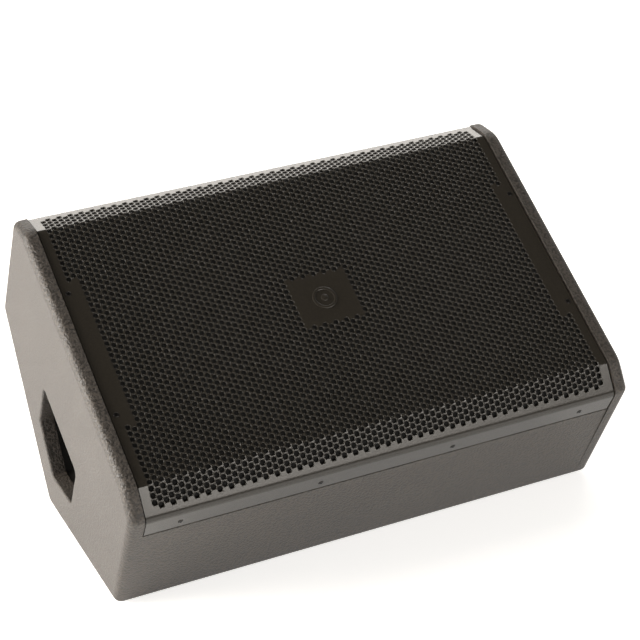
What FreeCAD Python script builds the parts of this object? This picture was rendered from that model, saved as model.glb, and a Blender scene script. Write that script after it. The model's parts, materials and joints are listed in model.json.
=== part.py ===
import FreeCAD, Part
import math
import os
import re
import Sketcher

# Stage monitor wedge, in millimetres.
#
# Every piece but the feet and the crossover is drawn in the baffle's frame: x runs across the box to
# the right, y runs up the slope of the baffle, and z points out of the grille, with z = 0 on the
# grille's outer face.  The shared placement "seat" then leans that frame back by the tilt and stands
# the box on its feet, with +Z up, the grille facing -Y, and the origin under the box's middle.

SIZES = {
    # the box
    "overall_width": (698, "across the two side panels"),
    "tilt": (32, "angle of the baffle from the floor, and of both lower faces from the baffle"),
    "side_thick": (20, "side panels"),
    "shell": (15, "front, bottom, rear and top panels, and the brace"),
    "half_depth": (234, "half the length of the section along the slope, at the grille's lips"),
    "low_half": (240, "half its length at the two low corners"),
    "side_proud": (3, "side panels stand above the grille by this"),
    "side_fold": (196.3, "y of the fold at the top of a side panel"),
    "shoulder_drop": (18.8, "z of a side panel's shoulder, below the grille"),
    "low_drop": (222, "z of the two low corners, below the grille"),
    "fold_round": (40, "side panel, at the fold"),
    "corner_round": (12, "shoulders and low corners"),
    "apex_round": (20, "lowest corner"),
    "edge_round": (11, "roundover of a side panel's outer edge"),
    "panel_top": (30, "top edge of the front and top panels, below the grille"),
    "rebate_depth": (1.7, "set-back of those panels behind the grille's lip"),
    "rebate_drop": (59, "foot of that rebate, below the grille"),
    "shadow_gap": (2.5, "groove between the grille's lip and the panel's face"),
    "shadow_depth": (7, "depth of that groove from the panel's face"),
    "corner_leg": (24, "length of a corner's leg round onto the next panel"),
    # baffle, brace and grille
    "baffle_top": (32, "front face of the baffle board, below the grille"),
    "baffle_thick": (18, "baffle board"),
    "brace_at": (-92, "x of the brace's left face"),
    "brace_rim": (45, "width of the brace round its window"),
    "rail_wide": (12, "wooden rail beside the grille"),
    "rail_off": (3, "space between a rail and its side panel"),
    "rail_half": (190, "half the rail's length"),
    "sheet_thick": (1.5, "grille steel"),
    "grille_half_width": (327.2, "half the grille's width"),
    "grille_fold": (195.5, "y of the grille's fold"),
    "grille_drop": (22.2, "z of the grille's sharp bend, below its flat field"),
    "lip_drop": (56.5, "foot of the grille's lip, below its flat field"),
    "bend_round": (10, "outer radius of the grille's bends"),
    "foam_thick": (5, "acoustic foam behind the grille"),
    "foam_half_width": (314, "half the foam's width"),
    # hand pockets
    "pocket_half": (67, "half the width of the hand hole"),
    "pocket_top": (174, "top of the hand hole, below the grille"),
    "pocket_shoulder": (258, "where the hand hole starts to narrow"),
    "pocket_round": (9, "corners of the hand hole"),
    "pocket_ease": (3, "eased outer edge of the hand hole"),
    "cup_step": (2, "the cup's mouth is larger than the hand hole by this all round"),
    "cup_depth": (60, "depth of the pressed cup behind the side panel"),
    "cup_thick": (1.5, "cup steel"),
    "cup_flange": (20, "flange's outer edge, from the hand hole's edge"),
    # input panel
    "plate_half": (42, "half the input plate's width"),
    "plate_top": (198, "top edge of the input plate, below the grille"),
    "plate_low": (270, "low edge of the input plate"),
    "plate_thick": (2, "input plate"),
    "socket_y": (20, "y of a socket from the middle"),
    "socket_z": (246, "depth of the sockets, below the grille"),
    "socket_flange_wide": (26, "socket flange"),
    "socket_flange_tall": (31, "socket flange"),
    "socket_flange_thick": (2, "socket flange"),
    "socket_radius": (13.5, "socket shell"),
    "socket_bore": (12, "socket bore"),
    "socket_core": (7, "keyed core in the bore"),
    "socket_depth": (24, "depth of the bore"),
    "socket_back": (4, "closed end of the socket"),
    "switch_z": (213, "depth of the selector switch, below the grille"),
    "switch_travel": (4, "travel of the selector's slider"),
    # woofer
    "woofer_x": (118, "x of the woofer"),
    "woofer_radius": (193.5, "flange"),
    "woofer_hole": (176.5, "cut-out in the baffle"),
    "woofer_bolt_circle": (185.5, "radius of the bolt circle"),
    "gasket_thick": (1, "gasket under the flange"),
    "flange_thick": (6, "woofer flange"),
    "basket_low": (120, "floor of the basket, below the grille"),
    "basket_hub": (94, "radius of the basket's floor"),
    "top_plate_radius": (92, "front plate of the motor"),
    "magnet_radius": (95, "ferrite ring"),
    "magnet_bore": (55, "ferrite ring"),
    "pole_radius": (36.5, "pole piece"),
    "gap_radius": (40, "bore of the top plate"),
    "coil_radius": (38.6, "outer radius of the voice coil"),
    "coil_thick": (1.2, "former and winding"),
    "coil_low": (140, "foot of the coil, below the grille"),
    "cone_radius": (150, "outer edge of the cone"),
    "cone_neck": (39, "inner edge of the cone"),
    "cone_rim_z": (27, "depth of the cone's outer edge, below the grille"),
    "cone_neck_z": (95, "depth of the cone's neck, below the grille"),
    "cone_thick": (1.6, "paper cone"),
    "cap_radius": (62, "dust cap"),
    # waveguide and compression driver
    "horn_x": (-196, "x of the waveguide"),
    "horn_half": (114, "half the side of the waveguide's flange"),
    "horn_hole_half": (98, "half the side of its cut-out"),
    "horn_flange_thick": (4, "waveguide flange"),
    "horn_mouth": (92, "mouth radius"),
    "horn_throat": (18, "throat radius"),
    "horn_wall": (4, "waveguide wall"),
    "throat_z": (152, "depth of the throat, below the grille"),
    "throat_flange": (50, "radius of the throat flange"),
    "driver_radius": (42, "driver magnet and cover"),
    "driver_bolt_circle": (46, "radius of the driver's bolt circle"),
    # ports
    "port_y": (168, "y of a port from the middle"),
    "port_radius": (40, "outer radius of a port tube"),
    "port_wall": (3, "port tube"),
    "port_length": (110, "port tube"),
    "port_lip": (47, "radius of its flared lip"),
    # crossover, in the level frame
    "board_long": (170, "crossover board"),
    "board_wide": (110, "crossover board"),
    "board_thick": (1.6, "crossover board"),
    "board_gap": (8, "standoff height"),
    "board_x": (60, "x of the board's middle"),
    "board_y": (-20, "y of the board's middle"),
    # feet and fasteners
    "foot_radius": (14, "rubber foot"),
    "foot_proud": (3, "height of a foot"),
    "foot_near": (45, "near row of feet, from the lowest corner along the face"),
    "foot_far": (236, "far row of feet, from the lowest corner along the face"),
    "foot_x": (292, "x of the feet from the middle"),
    "screw_radius": (2, "wood screw shank"),
    "screw_play": (0.05, "clearance round a shank"),
    "lead_radius": (2.5, "internal two-core lead"),
}

doc = FreeCAD.newDocument("stage_monitor_wedge")
sheet = doc.addObject("Spreadsheet::Sheet", "Sizes")
for row, (alias, (number, note)) in enumerate(SIZES.items(), 1):
    sheet.set(f"A{row}", alias)
    sheet.set(f"B{row}", str(number))
    sheet.setAlias(f"B{row}", alias)
    sheet.set(f"C{row}", note)
doc.recompute()

V = FreeCAD.Vector
WORD = re.compile(r"[a-z][a-z_]+")
PARTS = []


# ---------------------------------------------------------------- helpers

def bound(text):
    """An expression in which every alias points at its cell of the sheet."""
    return WORD.sub(lambda word: f"Sizes.{word[0]}" if word[0] in SIZES else word[0], str(text))


def size(text):
    """The number that such an expression gives."""
    result = sheet.evalExpression(bound(text))
    return float(getattr(result, "Value", result))


def new_body(name):
    return doc.addObject("PartDesign::Body", name + "_body")


def sketch(body, name, plane, lift="0", across="0"):
    """A sketch on one of the body's own planes, lifted along its normal and shifted along its x."""
    drawing = body.newObject("Sketcher::SketchObject", f"{body.Name}_{name}")
    own_plane = next(item for item in body.Origin.OriginFeatures if item.Role == plane)
    drawing.AttachmentSupport = [(own_plane, "")]
    drawing.MapMode = "FlatFace"
    drawing.setExpression("AttachmentOffset.Base.z", bound(lift))
    drawing.setExpression("AttachmentOffset.Base.x", bound(across))
    return drawing


def pin_point(drawing, index, end, place):
    """Fix a sketch point at two expressions, measured from the sketch's origin."""
    for kind, text in zip(("DistanceX", "DistanceY"), place):
        made = drawing.addConstraint(Sketcher.Constraint(kind, -1, 1, index, end, size(text)))
        drawing.setExpression(f"Constraints[{made}]", bound(text))


def polygon(drawing, points, arcs=None):
    """A closed outline.  arcs maps the number of an edge to the point that its arc passes through."""
    arcs = arcs or {}
    count = len(points)
    corners = [V(size(a), size(b), 0) for a, b in points]
    ends = []
    for i, start in enumerate(corners):
        stop = corners[(i + 1) % count]
        if i not in arcs:
            ends.append((drawing.addGeometry(Part.LineSegment(start, stop), False), 1, 2))
            continue
        middle = V(size(arcs[i][0]), size(arcs[i][1]), 0)
        anticlockwise = (middle - start).cross(stop - middle).z > 0
        if anticlockwise:
            ends.append((drawing.addGeometry(Part.Arc(start, middle, stop), False), 1, 2))
        else:
            ends.append((drawing.addGeometry(Part.Arc(stop, middle, start), False), 2, 1))
    for i in range(count):
        line, _, stop = ends[i]
        after, start, _ = ends[(i + 1) % count]
        drawing.addConstraint(Sketcher.Constraint("Coincident", line, stop, after, start))
    for i, place in enumerate(points):
        pin_point(drawing, ends[i][0], ends[i][1], place)
    for i, place in arcs.items():
        middle = V(size(place[0]), size(place[1]), 0)
        helper = drawing.addGeometry(Part.Point(middle), True)
        pin_point(drawing, helper, 1, place)
        drawing.addConstraint(Sketcher.Constraint("PointOnObject", helper, 1, ends[i][0]))


def circle(drawing, across, up, radius):
    centre = V(size(across), size(up), 0)
    index = drawing.addGeometry(Part.Circle(centre, V(0, 0, 1), size(radius)), False)
    pin_point(drawing, index, 3, (across, up))
    made = drawing.addConstraint(Sketcher.Constraint("Radius", index, size(radius)))
    drawing.setExpression(f"Constraints[{made}]", bound(radius))


def rectangle(drawing, left, low, right, high):
    polygon(drawing, [(left, low), (right, low), (right, high), (left, high)])


def pad(body, drawing, length, backwards=False):
    feature = body.newObject("PartDesign::Pad", f"{drawing.Name}_pad")
    feature.Profile = drawing
    feature.setExpression("Length", bound(length))
    feature.Reversed = backwards
    doc.recompute()
    return feature


def pocket(body, drawing, length=None, backwards=False):
    """A pocket of the given depth, or right through; it has to take something away."""
    before = body.Shape.Volume
    feature = body.newObject("PartDesign::Pocket", f"{drawing.Name}_pocket")
    feature.Profile = drawing
    feature.Reversed = backwards
    if length is None:
        feature.Type = "ThroughAll"
    else:
        feature.setExpression("Length", bound(length))
    doc.recompute()
    if feature.Shape.Volume > before - 1:
        raise RuntimeError(f"{feature.Name} cuts nothing")
    return feature


def revolve(body, drawing):
    feature = body.newObject("PartDesign::Revolution", f"{drawing.Name}_turn")
    feature.Profile = drawing
    feature.ReferenceAxis = (drawing, ["V_Axis"])
    feature.Angle = 360
    doc.recompute()
    return feature


def polar(body, feature, drawing, count):
    """Repeat a feature about the normal of its own sketch."""
    pattern = body.newObject("PartDesign::PolarPattern", f"{feature.Name}_pattern")
    pattern.Originals = [feature]
    pattern.Axis = (drawing, ["N_Axis"])
    pattern.Angle = 360
    pattern.Occurrences = count
    body.Tip = pattern
    doc.recompute()
    return pattern


def fillet(body, base, edges, radius, name):
    feature = body.newObject("PartDesign::Fillet", f"{body.Name}_{name}")
    feature.Base = (base, edges)
    feature.setExpression("Radius", bound(radius))
    doc.recompute()
    if not feature.Shape.isValid() or feature.Shape.isNull():
        raise RuntimeError(f"{feature.Name} failed")
    return feature


def edges_along_x(feature, corners):
    """The names of the edges that run along x nearest to the given (y, z) corners."""
    names = []
    for across, up in corners:
        target = V(0, size(across), size(up))
        ranked = []
        for number, edge in enumerate(feature.Shape.Edges, 1):
            middle = edge.CenterOfMass
            if edge.BoundBox.XLength > 1 and edge.BoundBox.YLength < 0.01:
                gap = math.hypot(middle.y - target.y, middle.z - target.z)
                ranked.append((gap, f"Edge{number}"))
        names.append(min(ranked)[1])
    return names


def edges_in_plane_x(feature, place, half_width=1000):
    """The names of the edges that lie in one plane of constant x, within half_width of the middle."""
    names = []
    for number, edge in enumerate(feature.Shape.Edges, 1):
        box = edge.BoundBox
        inside = max(abs(box.YMin), abs(box.YMax)) < half_width
        if abs(box.XMin - place) < 0.01 and abs(box.XMax - place) < 0.01 and inside:
            names.append(f"Edge{number}")
    return names


def cylinder(name, radius, height, at=("0", "0", "0"), axis=V(0, 0, 1)):
    """A Part::Cylinder whose radius, height and place are bound to the sheet."""
    piece = doc.addObject("Part::Cylinder", name)
    piece.Placement = FreeCAD.Placement(V(), FreeCAD.Rotation(V(0, 0, 1), axis))
    piece.setExpression("Radius", bound(radius))
    piece.setExpression("Height", bound(height))
    for letter, text in zip("xyz", at):
        piece.setExpression(f"Placement.Base.{letter}", bound(text))
    return piece


def block(name, low, high):
    """A Part::Box between two corners given as expressions."""
    piece = doc.addObject("Part::Box", name)
    for side, letter, first, last in zip(("Length", "Width", "Height"), "xyz", low, high):
        piece.setExpression(side, bound(f"({last}) - ({first})"))
        piece.setExpression(f"Placement.Base.{letter}", bound(first))
    return piece


def cut(name, base, tool):
    piece = doc.addObject("Part::Cut", name)
    piece.Base = base
    piece.Tool = tool
    doc.recompute()
    return piece


def fuse(name, *pieces):
    piece = doc.addObject("Part::MultiFuse", name)
    piece.Shapes = list(pieces)
    doc.recompute()
    return piece


def ring(name, outer, inner, low, high, across="0"):
    """A flat ring about an axis along z."""
    height = f"({high}) - ({low})"
    solid = cylinder(name + "_outside", outer, height, (across, "0", low))
    hole = cylinder(name + "_bore", inner, height, (across, "0", low))
    return cut(name + "_ring", solid, hole)


def gathered(name, shapes):
    """Several separate solids as one object."""
    piece = doc.addObject("Part::Feature", name + "_set")
    piece.Shape = Part.makeCompound(shapes)
    return piece


def placed(shape, point, axis):
    """A copy of a shape with its origin at point and its own z along axis."""
    copy = shape.copy()
    copy.Placement = FreeCAD.Placement(point, FreeCAD.Rotation(V(0, 0, 1), axis))
    return copy


def screw(head_radius, head_height, shank_radius, shank_length, key_across=0.0):
    """A dome-headed screw: the head stands on z = 0 and the shank runs down."""
    head = Part.makeCylinder(head_radius, head_height)
    head = head.makeFillet(head_height * 0.7, [head.Edges[0]])
    if key_across:
        corners = [V(math.cos(math.radians(60 * i)), math.sin(math.radians(60 * i)), 0) * key_across / 2
                   for i in range(6)]
        face = Part.Face(Part.makePolygon(corners + corners[:1]))
        face.translate(V(0, 0, head_height * 0.45))
        head = head.cut(face.extrude(V(0, 0, head_height)))
    return head.fuse(Part.makeCylinder(shank_radius, shank_length, V(0, 0, -shank_length))).removeSplitter()


def bores(name, radius, length, spots, start=0.0):
    """Cutters for shanks: each runs from start before its spot to length behind it."""
    tool = Part.makeCylinder(radius, length + start, V(0, 0, -length))
    return gathered(name + "_bores", [placed(tool, point, axis) for point, axis in spots])


def keep(piece, label, place):
    """Name a finished piece, put it in its place and list it."""
    if piece.isDerivedFrom("Part::Primitive"):
        shifted = piece
        piece = doc.addObject("Part::Compound", label + "_piece")
        piece.Links = [shifted]
        doc.recompute()
    piece.Label = label
    piece.Placement = place
    PARTS.append(piece)
    return piece


# ---------------------------------------------------------------- shared places

REAR = "(low_half*sin(tilt) + low_drop*cos(tilt))"
APEX = f"{REAR}/cos(tilt)"
INNER_Y = "(half_depth - shell)"
INNER_LOW = f"(({REAR} - shell - {INNER_Y}*sin(tilt))/cos(tilt))"
INNER_APEX = f"(({REAR} - shell)/cos(tilt))"
CHEEK = "(overall_width/2 - side_thick)"
BAFFLE_BACK = "(baffle_top + baffle_thick)"
GRILLE_SLOPE = "(grille_drop/(half_depth - grille_fold))"

TAN = math.tan(math.radians(size("tilt")))
UP = V(0, 0, 1)
RIGHT = V(1, 0, 0)


def face_point(distance, side):
    """A point on a lower face: side -1 is the face that stands on the floor, +1 the rear one."""
    angle = math.radians(size("tilt"))
    return V(0, side * distance * math.cos(angle), -size(APEX) + distance * math.sin(angle))


def face_normal(side):
    angle = math.radians(size("tilt"))
    return V(0, side * math.sin(angle), -math.cos(angle))


def grille_screw_spots():
    """Four screws down into the rails and eight through the lips."""
    spots = []
    for x in (-319.5, 319.5):
        for y in (-93, 93):
            spots.append((V(x, y, 0), UP))
    for x in (-281, -93, 93, 281):
        for side in (-1, 1):
            spots.append((V(x, side * size("half_depth"), -44), V(0, side, 0)))
    return spots


def woofer_bolt_spots():
    reach = size("woofer_bolt_circle")
    height = -size("baffle_top - gasket_thick - flange_thick")
    spots = []
    for i in range(8):
        angle = math.radians(22.5 + 45 * i)
        spots.append((V(size("woofer_x") + reach * math.cos(angle), reach * math.sin(angle), height), UP))
    return spots


def horn_screw_spots():
    reach = size("horn_half - 8")
    height = -size("baffle_top - gasket_thick - horn_flange_thick")
    steps = [(-1, -1), (0, -1), (1, -1), (1, 0), (1, 1), (0, 1), (-1, 1), (-1, 0)]
    return [(V(size("horn_x") + reach * a, reach * b, height), UP) for a, b in steps]


def driver_bolt_spots():
    reach = size("driver_bolt_circle")
    spots = []
    for i in range(4):
        angle = math.radians(45 + 90 * i)
        place = V(size("horn_x") + reach * math.cos(angle), reach * math.sin(angle), -size("throat_z") - 6)
        spots.append((place, -UP))
    return spots


def cup_screw_spots(side):
    """Seven screws that hold a cup's flange to the inside of its side panel."""
    x = side * size(f"{CHEEK} - cup_thick")
    middle = size("pocket_half + cup_flange*0.55")
    low = -size("pocket_shoulder") - size("cup_flange*0.55") * 0.55
    places = [(0, -size("pocket_top") + size("cup_flange*0.55"))]
    for y in (-middle, middle):
        places.append((y, -size("pocket_top + 15")))
        places.append((y, -size("pocket_shoulder - 12")))
        places.append((y * 0.45, low - middle * 0.55 * TAN))
    return [(V(x, y, z), V(-side, 0, 0)) for y, z in places]


def plate_screw_spots():
    x = -size(f"{CHEEK} - cup_depth + plate_thick")
    reach = size("plate_half - 4.5")
    spots = []
    for y in (-reach, reach):
        for z in (-size("plate_top") - 5, -size("plate_low") + 22):
            spots.append((V(x, y, z), -RIGHT))
    return spots


def socket_screw_spots():
    x = -size(f"{CHEEK} - cup_depth + plate_thick + socket_flange_thick")
    spots = []
    for side in (-1, 1):
        for sign in (-1, 1):
            place = V(x, side * size("socket_y") + sign * 9.7, -size("socket_z") + sign * 12.4)
            spots.append((place, -RIGHT))
    return spots


def foot_spots(side):
    spots = []
    for distance in ("foot_near", "foot_far"):
        for x in (-size("foot_x"), size("foot_x")):
            spots.append((face_point(size(distance), side) + V(x, 0, 0), face_normal(side)))
    return spots


# ---------------------------------------------------------------- box

def side_panel(label, side):
    """Plywood cheek: folded top edge, two low corners, an apex, and a five-sided hand hole."""
    body = new_body(label)
    inner = CHEEK if side > 0 else "(-overall_width/2)"
    outer_x = side * size("overall_width/2")
    outline = sketch(body, "outline", "YZ_Plane", lift=inner)
    folds = [("-side_fold", "side_proud"), ("side_fold", "side_proud")]
    shoulders = [("half_depth", "-shoulder_drop"), ("-half_depth", "-shoulder_drop")]
    lows = [("low_half", "-low_drop"), ("-low_half", "-low_drop")]
    apex = [("0", f"-{APEX}")]
    polygon(outline, [folds[1], shoulders[0], lows[0], apex[0], lows[1], shoulders[1], folds[0]])
    made = pad(body, outline, "side_thick")
    made = fillet(body, made, edges_along_x(made, folds), "fold_round", "fold")
    made = fillet(body, made, edges_along_x(made, shoulders + lows), "corner_round", "corners")
    made = fillet(body, made, edges_along_x(made, apex), "apex_round", "apex")
    made = fillet(body, made, edges_in_plane_x(made, outer_x), "edge_round", "roundover")
    hole = sketch(body, "hand_hole", "YZ_Plane", lift=inner)
    polygon(hole, pocket_outline("0"))
    made = pocket(body, hole, backwards=True)
    made = fillet(body, made, edges_along_x(made, pocket_outline("0")), "pocket_round", "hand_corners")
    rim = edges_in_plane_x(made, outer_x, size("pocket_half") + 1)
    fillet(body, made, rim, "pocket_ease", "hand_ease")
    inward = [(point, axis) for point, axis in cup_screw_spots(side)]
    tool = bores(label, size("screw_radius + screw_play"), 13.2, inward)
    keep(cut(label + "_drilled", body, tool), label, seat)


def pocket_outline(grow):
    """The hand hole's five corners (y, z), offset outwards by grow."""
    wide = f"(pocket_half + {grow})"
    shoulder = f"(pocket_shoulder + {grow}*(1/cos(tilt) - tan(tilt)))"
    return [
        (f"-{wide}", f"-pocket_top + {grow}"),
        (f"-{wide}", f"-{shoulder}"),
        ("0", f"-{shoulder} - {wide}*tan(tilt)"),
        (wide, f"-{shoulder}"),
        (wide, f"-pocket_top + {grow}"),
    ]


def upright_panel(label, side):
    """Front (side -1) or top (side +1) panel: rebated for the grille's lip, with the corner's leg."""
    body = new_body(label)
    outline = sketch(body, "outline", "YZ_Plane", lift=f"-{CHEEK}")
    sign = "-" if side < 0 else ""
    leg_y = "(low_half - corner_leg*cos(tilt))"
    leg_z = "(low_drop + corner_leg*sin(tilt))"
    points = [
        (f"{sign}half_depth", "-rebate_drop"),
        (f"{sign}low_half", "-low_drop"),
        (f"{sign}{leg_y}", f"-{leg_z}"),
        (f"{sign}({leg_y} - shell*sin(tilt))", f"-{leg_z} + shell*cos(tilt)"),
        (f"{sign}{INNER_Y}", f"-{INNER_LOW}"),
        (f"{sign}{INNER_Y}", "-panel_top"),
        (f"{sign}(half_depth - rebate_depth)", "-panel_top"),
        (f"{sign}(half_depth - rebate_depth)", "-rebate_drop + shadow_gap"),
        (f"{sign}(half_depth - shadow_depth)", "-rebate_drop + shadow_gap"),
        (f"{sign}(half_depth - shadow_depth)", "-rebate_drop"),
    ]
    polygon(outline, points)
    made = pad(body, outline, f"2*{CHEEK}")
    fillet(body, made, edges_along_x(made, [points[1]]), "corner_round", "corner")
    spots = [(point, axis) for point, axis in grille_screw_spots() if axis.y * side > 0.5]
    tool = bores(label, size("screw_radius + screw_play"), 13, spots)
    keep(cut(label + "_drilled", body, tool), label, seat)


def lower_panel(label, side):
    """Bottom panel (side -1), which carries the lowest corner, or rear panel (side +1)."""
    body = new_body(label)
    outline = sketch(body, "outline", "YZ_Plane", lift=f"-{CHEEK}")
    sign = "-" if side < 0 else ""
    leg_y = "(low_half - corner_leg*cos(tilt))"
    leg_z = "(low_drop + corner_leg*sin(tilt))"
    high = [
        (f"{sign}({leg_y} - shell*sin(tilt))", f"-{leg_z} + shell*cos(tilt)"),
        (f"{sign}{leg_y}", f"-{leg_z}"),
    ]
    foot_y = "corner_leg*cos(tilt)"
    foot_z = f"({APEX} - corner_leg*sin(tilt))"
    over = [
        (foot_y, f"-{foot_z}"),
        (f"({foot_y} - shell*sin(tilt))", f"-{foot_z} + shell*cos(tilt)"),
    ]
    if side < 0:
        polygon(outline, high + [("0", f"-{APEX}")] + over + [("0", f"-{INNER_APEX}")])
    else:
        polygon(outline, [high[1], high[0], over[1], over[0]])
    made = pad(body, outline, f"2*{CHEEK}")
    if side < 0:
        fillet(body, made, edges_along_x(made, [("0", f"-{APEX}")]), "apex_round", "apex")
    tool = bores(label, size("screw_radius + screw_play"), 12, foot_spots(side), start=1)
    keep(cut(label + "_drilled", body, tool), label, seat)


def baffle_board():
    body = new_body("baffle_board")
    board = sketch(body, "board", "XY_Plane", lift=f"-{BAFFLE_BACK}")
    rectangle(board, f"-{CHEEK}", f"-{INNER_Y}", CHEEK, INNER_Y)
    circle(board, "woofer_x", "0", "woofer_hole")
    rectangle(board, "horn_x - horn_hole_half", "-horn_hole_half",
              "horn_x + horn_hole_half", "horn_hole_half")
    circle(board, "horn_x", "port_y", "port_radius")
    circle(board, "horn_x", "-port_y", "port_radius")
    pad(body, board, "baffle_thick")
    bolts = bores("woofer", size("3 + screw_play"), 30, woofer_bolt_spots())
    small = bores("horn", size("screw_radius + screw_play"), 20, horn_screw_spots())
    drilled = cut("baffle_drilled_for_woofer", body, bolts)
    keep(cut("baffle_drilled", drilled, small), "baffle_board", seat)


def brace_board():
    """Window brace that ties the four long panels together behind the baffle."""
    body = new_body("brace_board")
    outline = sketch(body, "outline", "YZ_Plane", lift="brace_at")
    polygon(outline, [
        (f"-{INNER_Y}", f"-{BAFFLE_BACK}"), (f"-{INNER_Y}", f"-{INNER_LOW}"), ("0", f"-{INNER_APEX}"),
        (INNER_Y, f"-{INNER_LOW}"), (INNER_Y, f"-{BAFFLE_BACK}")])
    rim = f"({INNER_Y} - brace_rim)"
    low = f"({INNER_LOW} - brace_rim*(1/cos(tilt) - tan(tilt)))"
    polygon(outline, [
        (f"-{rim}", f"-{BAFFLE_BACK} - brace_rim"), (f"-{rim}", f"-{low}"),
        ("0", f"-{INNER_APEX} + brace_rim/cos(tilt)"), (rim, f"-{low}"),
        (rim, f"-{BAFFLE_BACK} - brace_rim")])
    pad(body, outline, "shell")
    keep(body, "brace_board", seat)


def grille_rails():
    rails = []
    for name, low, high in (("left", f"-{CHEEK} + rail_off", f"-{CHEEK} + rail_off + rail_wide"),
                            ("right", f"{CHEEK} - rail_off - rail_wide", f"{CHEEK} - rail_off")):
        rails.append(block(f"{name}_rail", (low, "-rail_half", "-baffle_top"),
                           (high, "rail_half", "-sheet_thick")))
    both = fuse("rails", *rails)
    spots = [(point, axis) for point, axis in grille_screw_spots() if axis.z > 0.5]
    tool = bores("rails", size("screw_radius + screw_play"), 26, spots)
    keep(cut("rails_drilled", both, tool), "grille_rails", seat)


def grille():
    """Bent steel sheet: flat field, a facet front and back, and a lip over each long panel."""
    body = new_body("grille")
    section = sketch(body, "section", "YZ_Plane", lift="-grille_half_width")
    steel = f"sheet_thick*sqrt(1 + {GRILLE_SLOPE}^2)"
    inner_fold = f"(grille_fold - ({steel} - sheet_thick)/{GRILLE_SLOPE})"
    inner_bend = f"(grille_drop - sheet_thick*{GRILLE_SLOPE} + {steel})"
    thin = "(half_depth - sheet_thick)"
    outside = [("half_depth", "-lip_drop"), ("half_depth", "-grille_drop"), ("grille_fold", "0"),
               ("-grille_fold", "0"), ("-half_depth", "-grille_drop"), ("-half_depth", "-lip_drop")]
    inside = [(f"-{thin}", "-lip_drop"), (f"-{thin}", f"-{inner_bend}"),
              (f"-{inner_fold}", "-sheet_thick"), (inner_fold, "-sheet_thick"),
              (thin, f"-{inner_bend}"), (thin, "-lip_drop")]
    polygon(section, outside + inside)
    made = pad(body, section, "2*grille_half_width")
    made = fillet(body, made, edges_along_x(made, inside[1:5]), "bend_round - sheet_thick", "inner_bends")
    fillet(body, made, edges_along_x(made, outside[1:5]), "bend_round", "outer_bends")
    tool = bores("grille", size("screw_radius + screw_play"), 4, grille_screw_spots(), start=1)
    keep(cut("grille_drilled", body, tool), "grille", seat)


def grille_screws():
    made = screw(3.6, 1.1, size("screw_radius"), 12, 2.5)
    heads = [placed(made, point, axis) for point, axis in grille_screw_spots()]
    keep(gathered("grille_screws", heads), "grille_screws", seat)


def grille_foam():
    """Thin reticulated foam, glued behind the perforated field and both facets."""
    body = new_body("grille_foam")
    section = sketch(body, "section", "YZ_Plane", lift="-foam_half_width")
    reach = "(grille_fold + 24)"
    skin = f"(sheet_thick*sqrt(1 + {GRILLE_SLOPE}^2) + 0.5)"
    fall = f"24*{GRILLE_SLOPE}"
    polygon(section, [
        (f"-{reach}", f"-{skin} - {fall}"), ("-grille_fold + 3", f"-{skin} + 0.2"),
        ("grille_fold - 3", f"-{skin} + 0.2"), (reach, f"-{skin} - {fall}"),
        (reach, f"-{skin} - {fall} - foam_thick"), ("grille_fold - 3", f"-{skin} - foam_thick"),
        ("-grille_fold + 3", f"-{skin} - foam_thick"), (f"-{reach}", f"-{skin} - {fall} - foam_thick")])
    pad(body, section, "2*foam_half_width")
    keep(body, "grille_foam", seat)


def feet(label, side):
    """Four round rubber feet with a counterbored hole each."""
    proud = size("foot_proud")
    radius = size("foot_radius")
    foot = Part.makeCone(radius, radius - 1.5, proud)
    foot = foot.cut(Part.makeCylinder(4.4, proud, V(0, 0, proud - 1.9)))
    foot = foot.cut(Part.makeCylinder(size("screw_radius + screw_play"), proud))
    keep(gathered(label, [placed(foot, point, axis) for point, axis in foot_spots(side)]), label, seat)


def foot_screws():
    made = screw(4, 1.6, size("screw_radius"), 12)
    lift = size("foot_proud") - 1.9
    places = [(point + axis * lift, axis) for side in (-1, 1) for point, axis in foot_spots(side)]
    shapes = [placed(made, point, axis) for point, axis in places]
    keep(gathered("foot_screws", shapes), "foot_screws", seat)


# ---------------------------------------------------------------- hand pockets and input panel

def handle_cup(label, side):
    """Pressed steel cup behind the hand hole, with a flange against the side panel."""
    body = new_body(label)
    mouth = f"{CHEEK} - cup_thick" if side > 0 else f"-{CHEEK}"
    flange = sketch(body, "flange", "YZ_Plane", lift=mouth)
    polygon(flange, pocket_outline("cup_flange"))
    pad(body, flange, "cup_thick")
    start = f"{CHEEK} - cup_depth - cup_thick" if side > 0 else f"-{CHEEK}"
    shell = sketch(body, "shell", "YZ_Plane", lift=start)
    polygon(shell, pocket_outline("(cup_step + cup_thick)"))
    pad(body, shell, "cup_depth + cup_thick")
    hollow = sketch(body, "hollow", "YZ_Plane", lift=CHEEK if side > 0 else f"-{CHEEK}")
    polygon(hollow, pocket_outline("cup_step"))
    made = pocket(body, hollow, "cup_depth", backwards=side < 0)
    made = fillet(body, made, edges_along_x(made, pocket_outline("cup_step")), "pocket_round", "hollow")
    outside = pocket_outline("(cup_step + cup_thick)")
    fillet(body, made, edges_along_x(made, outside), "pocket_round + cup_thick", "outside")
    tools = [bores(label, size("screw_radius + screw_play"), 3, cup_screw_spots(side), start=3)]
    drilled = cut(label + "_drilled", body, tools[0])
    if side < 0:
        window = block("input_window", (f"-{CHEEK} + cup_depth - 3", "-plate_half + 7", "-plate_low + 6"),
                       (f"-{CHEEK} + cup_depth + 3", "plate_half - 7", "-plate_top - 6"))
        drilled = cut(label + "_windowed", drilled, window)
        threads = bores("plate", size("1.5 + screw_play"), 8, plate_screw_spots())
        drilled = cut(label + "_tapped", drilled, threads)
    keep(drilled, label, seat)


def cup_screws():
    made = screw(4, 2.2, size("screw_radius"), 12)
    shapes = [placed(made, point, axis) for side in (-1, 1) for point, axis in cup_screw_spots(side)]
    keep(gathered("cup_screws", shapes), "cup_screws", seat)


FLOOR_X = f"(-{CHEEK} + cup_depth)"


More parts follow.
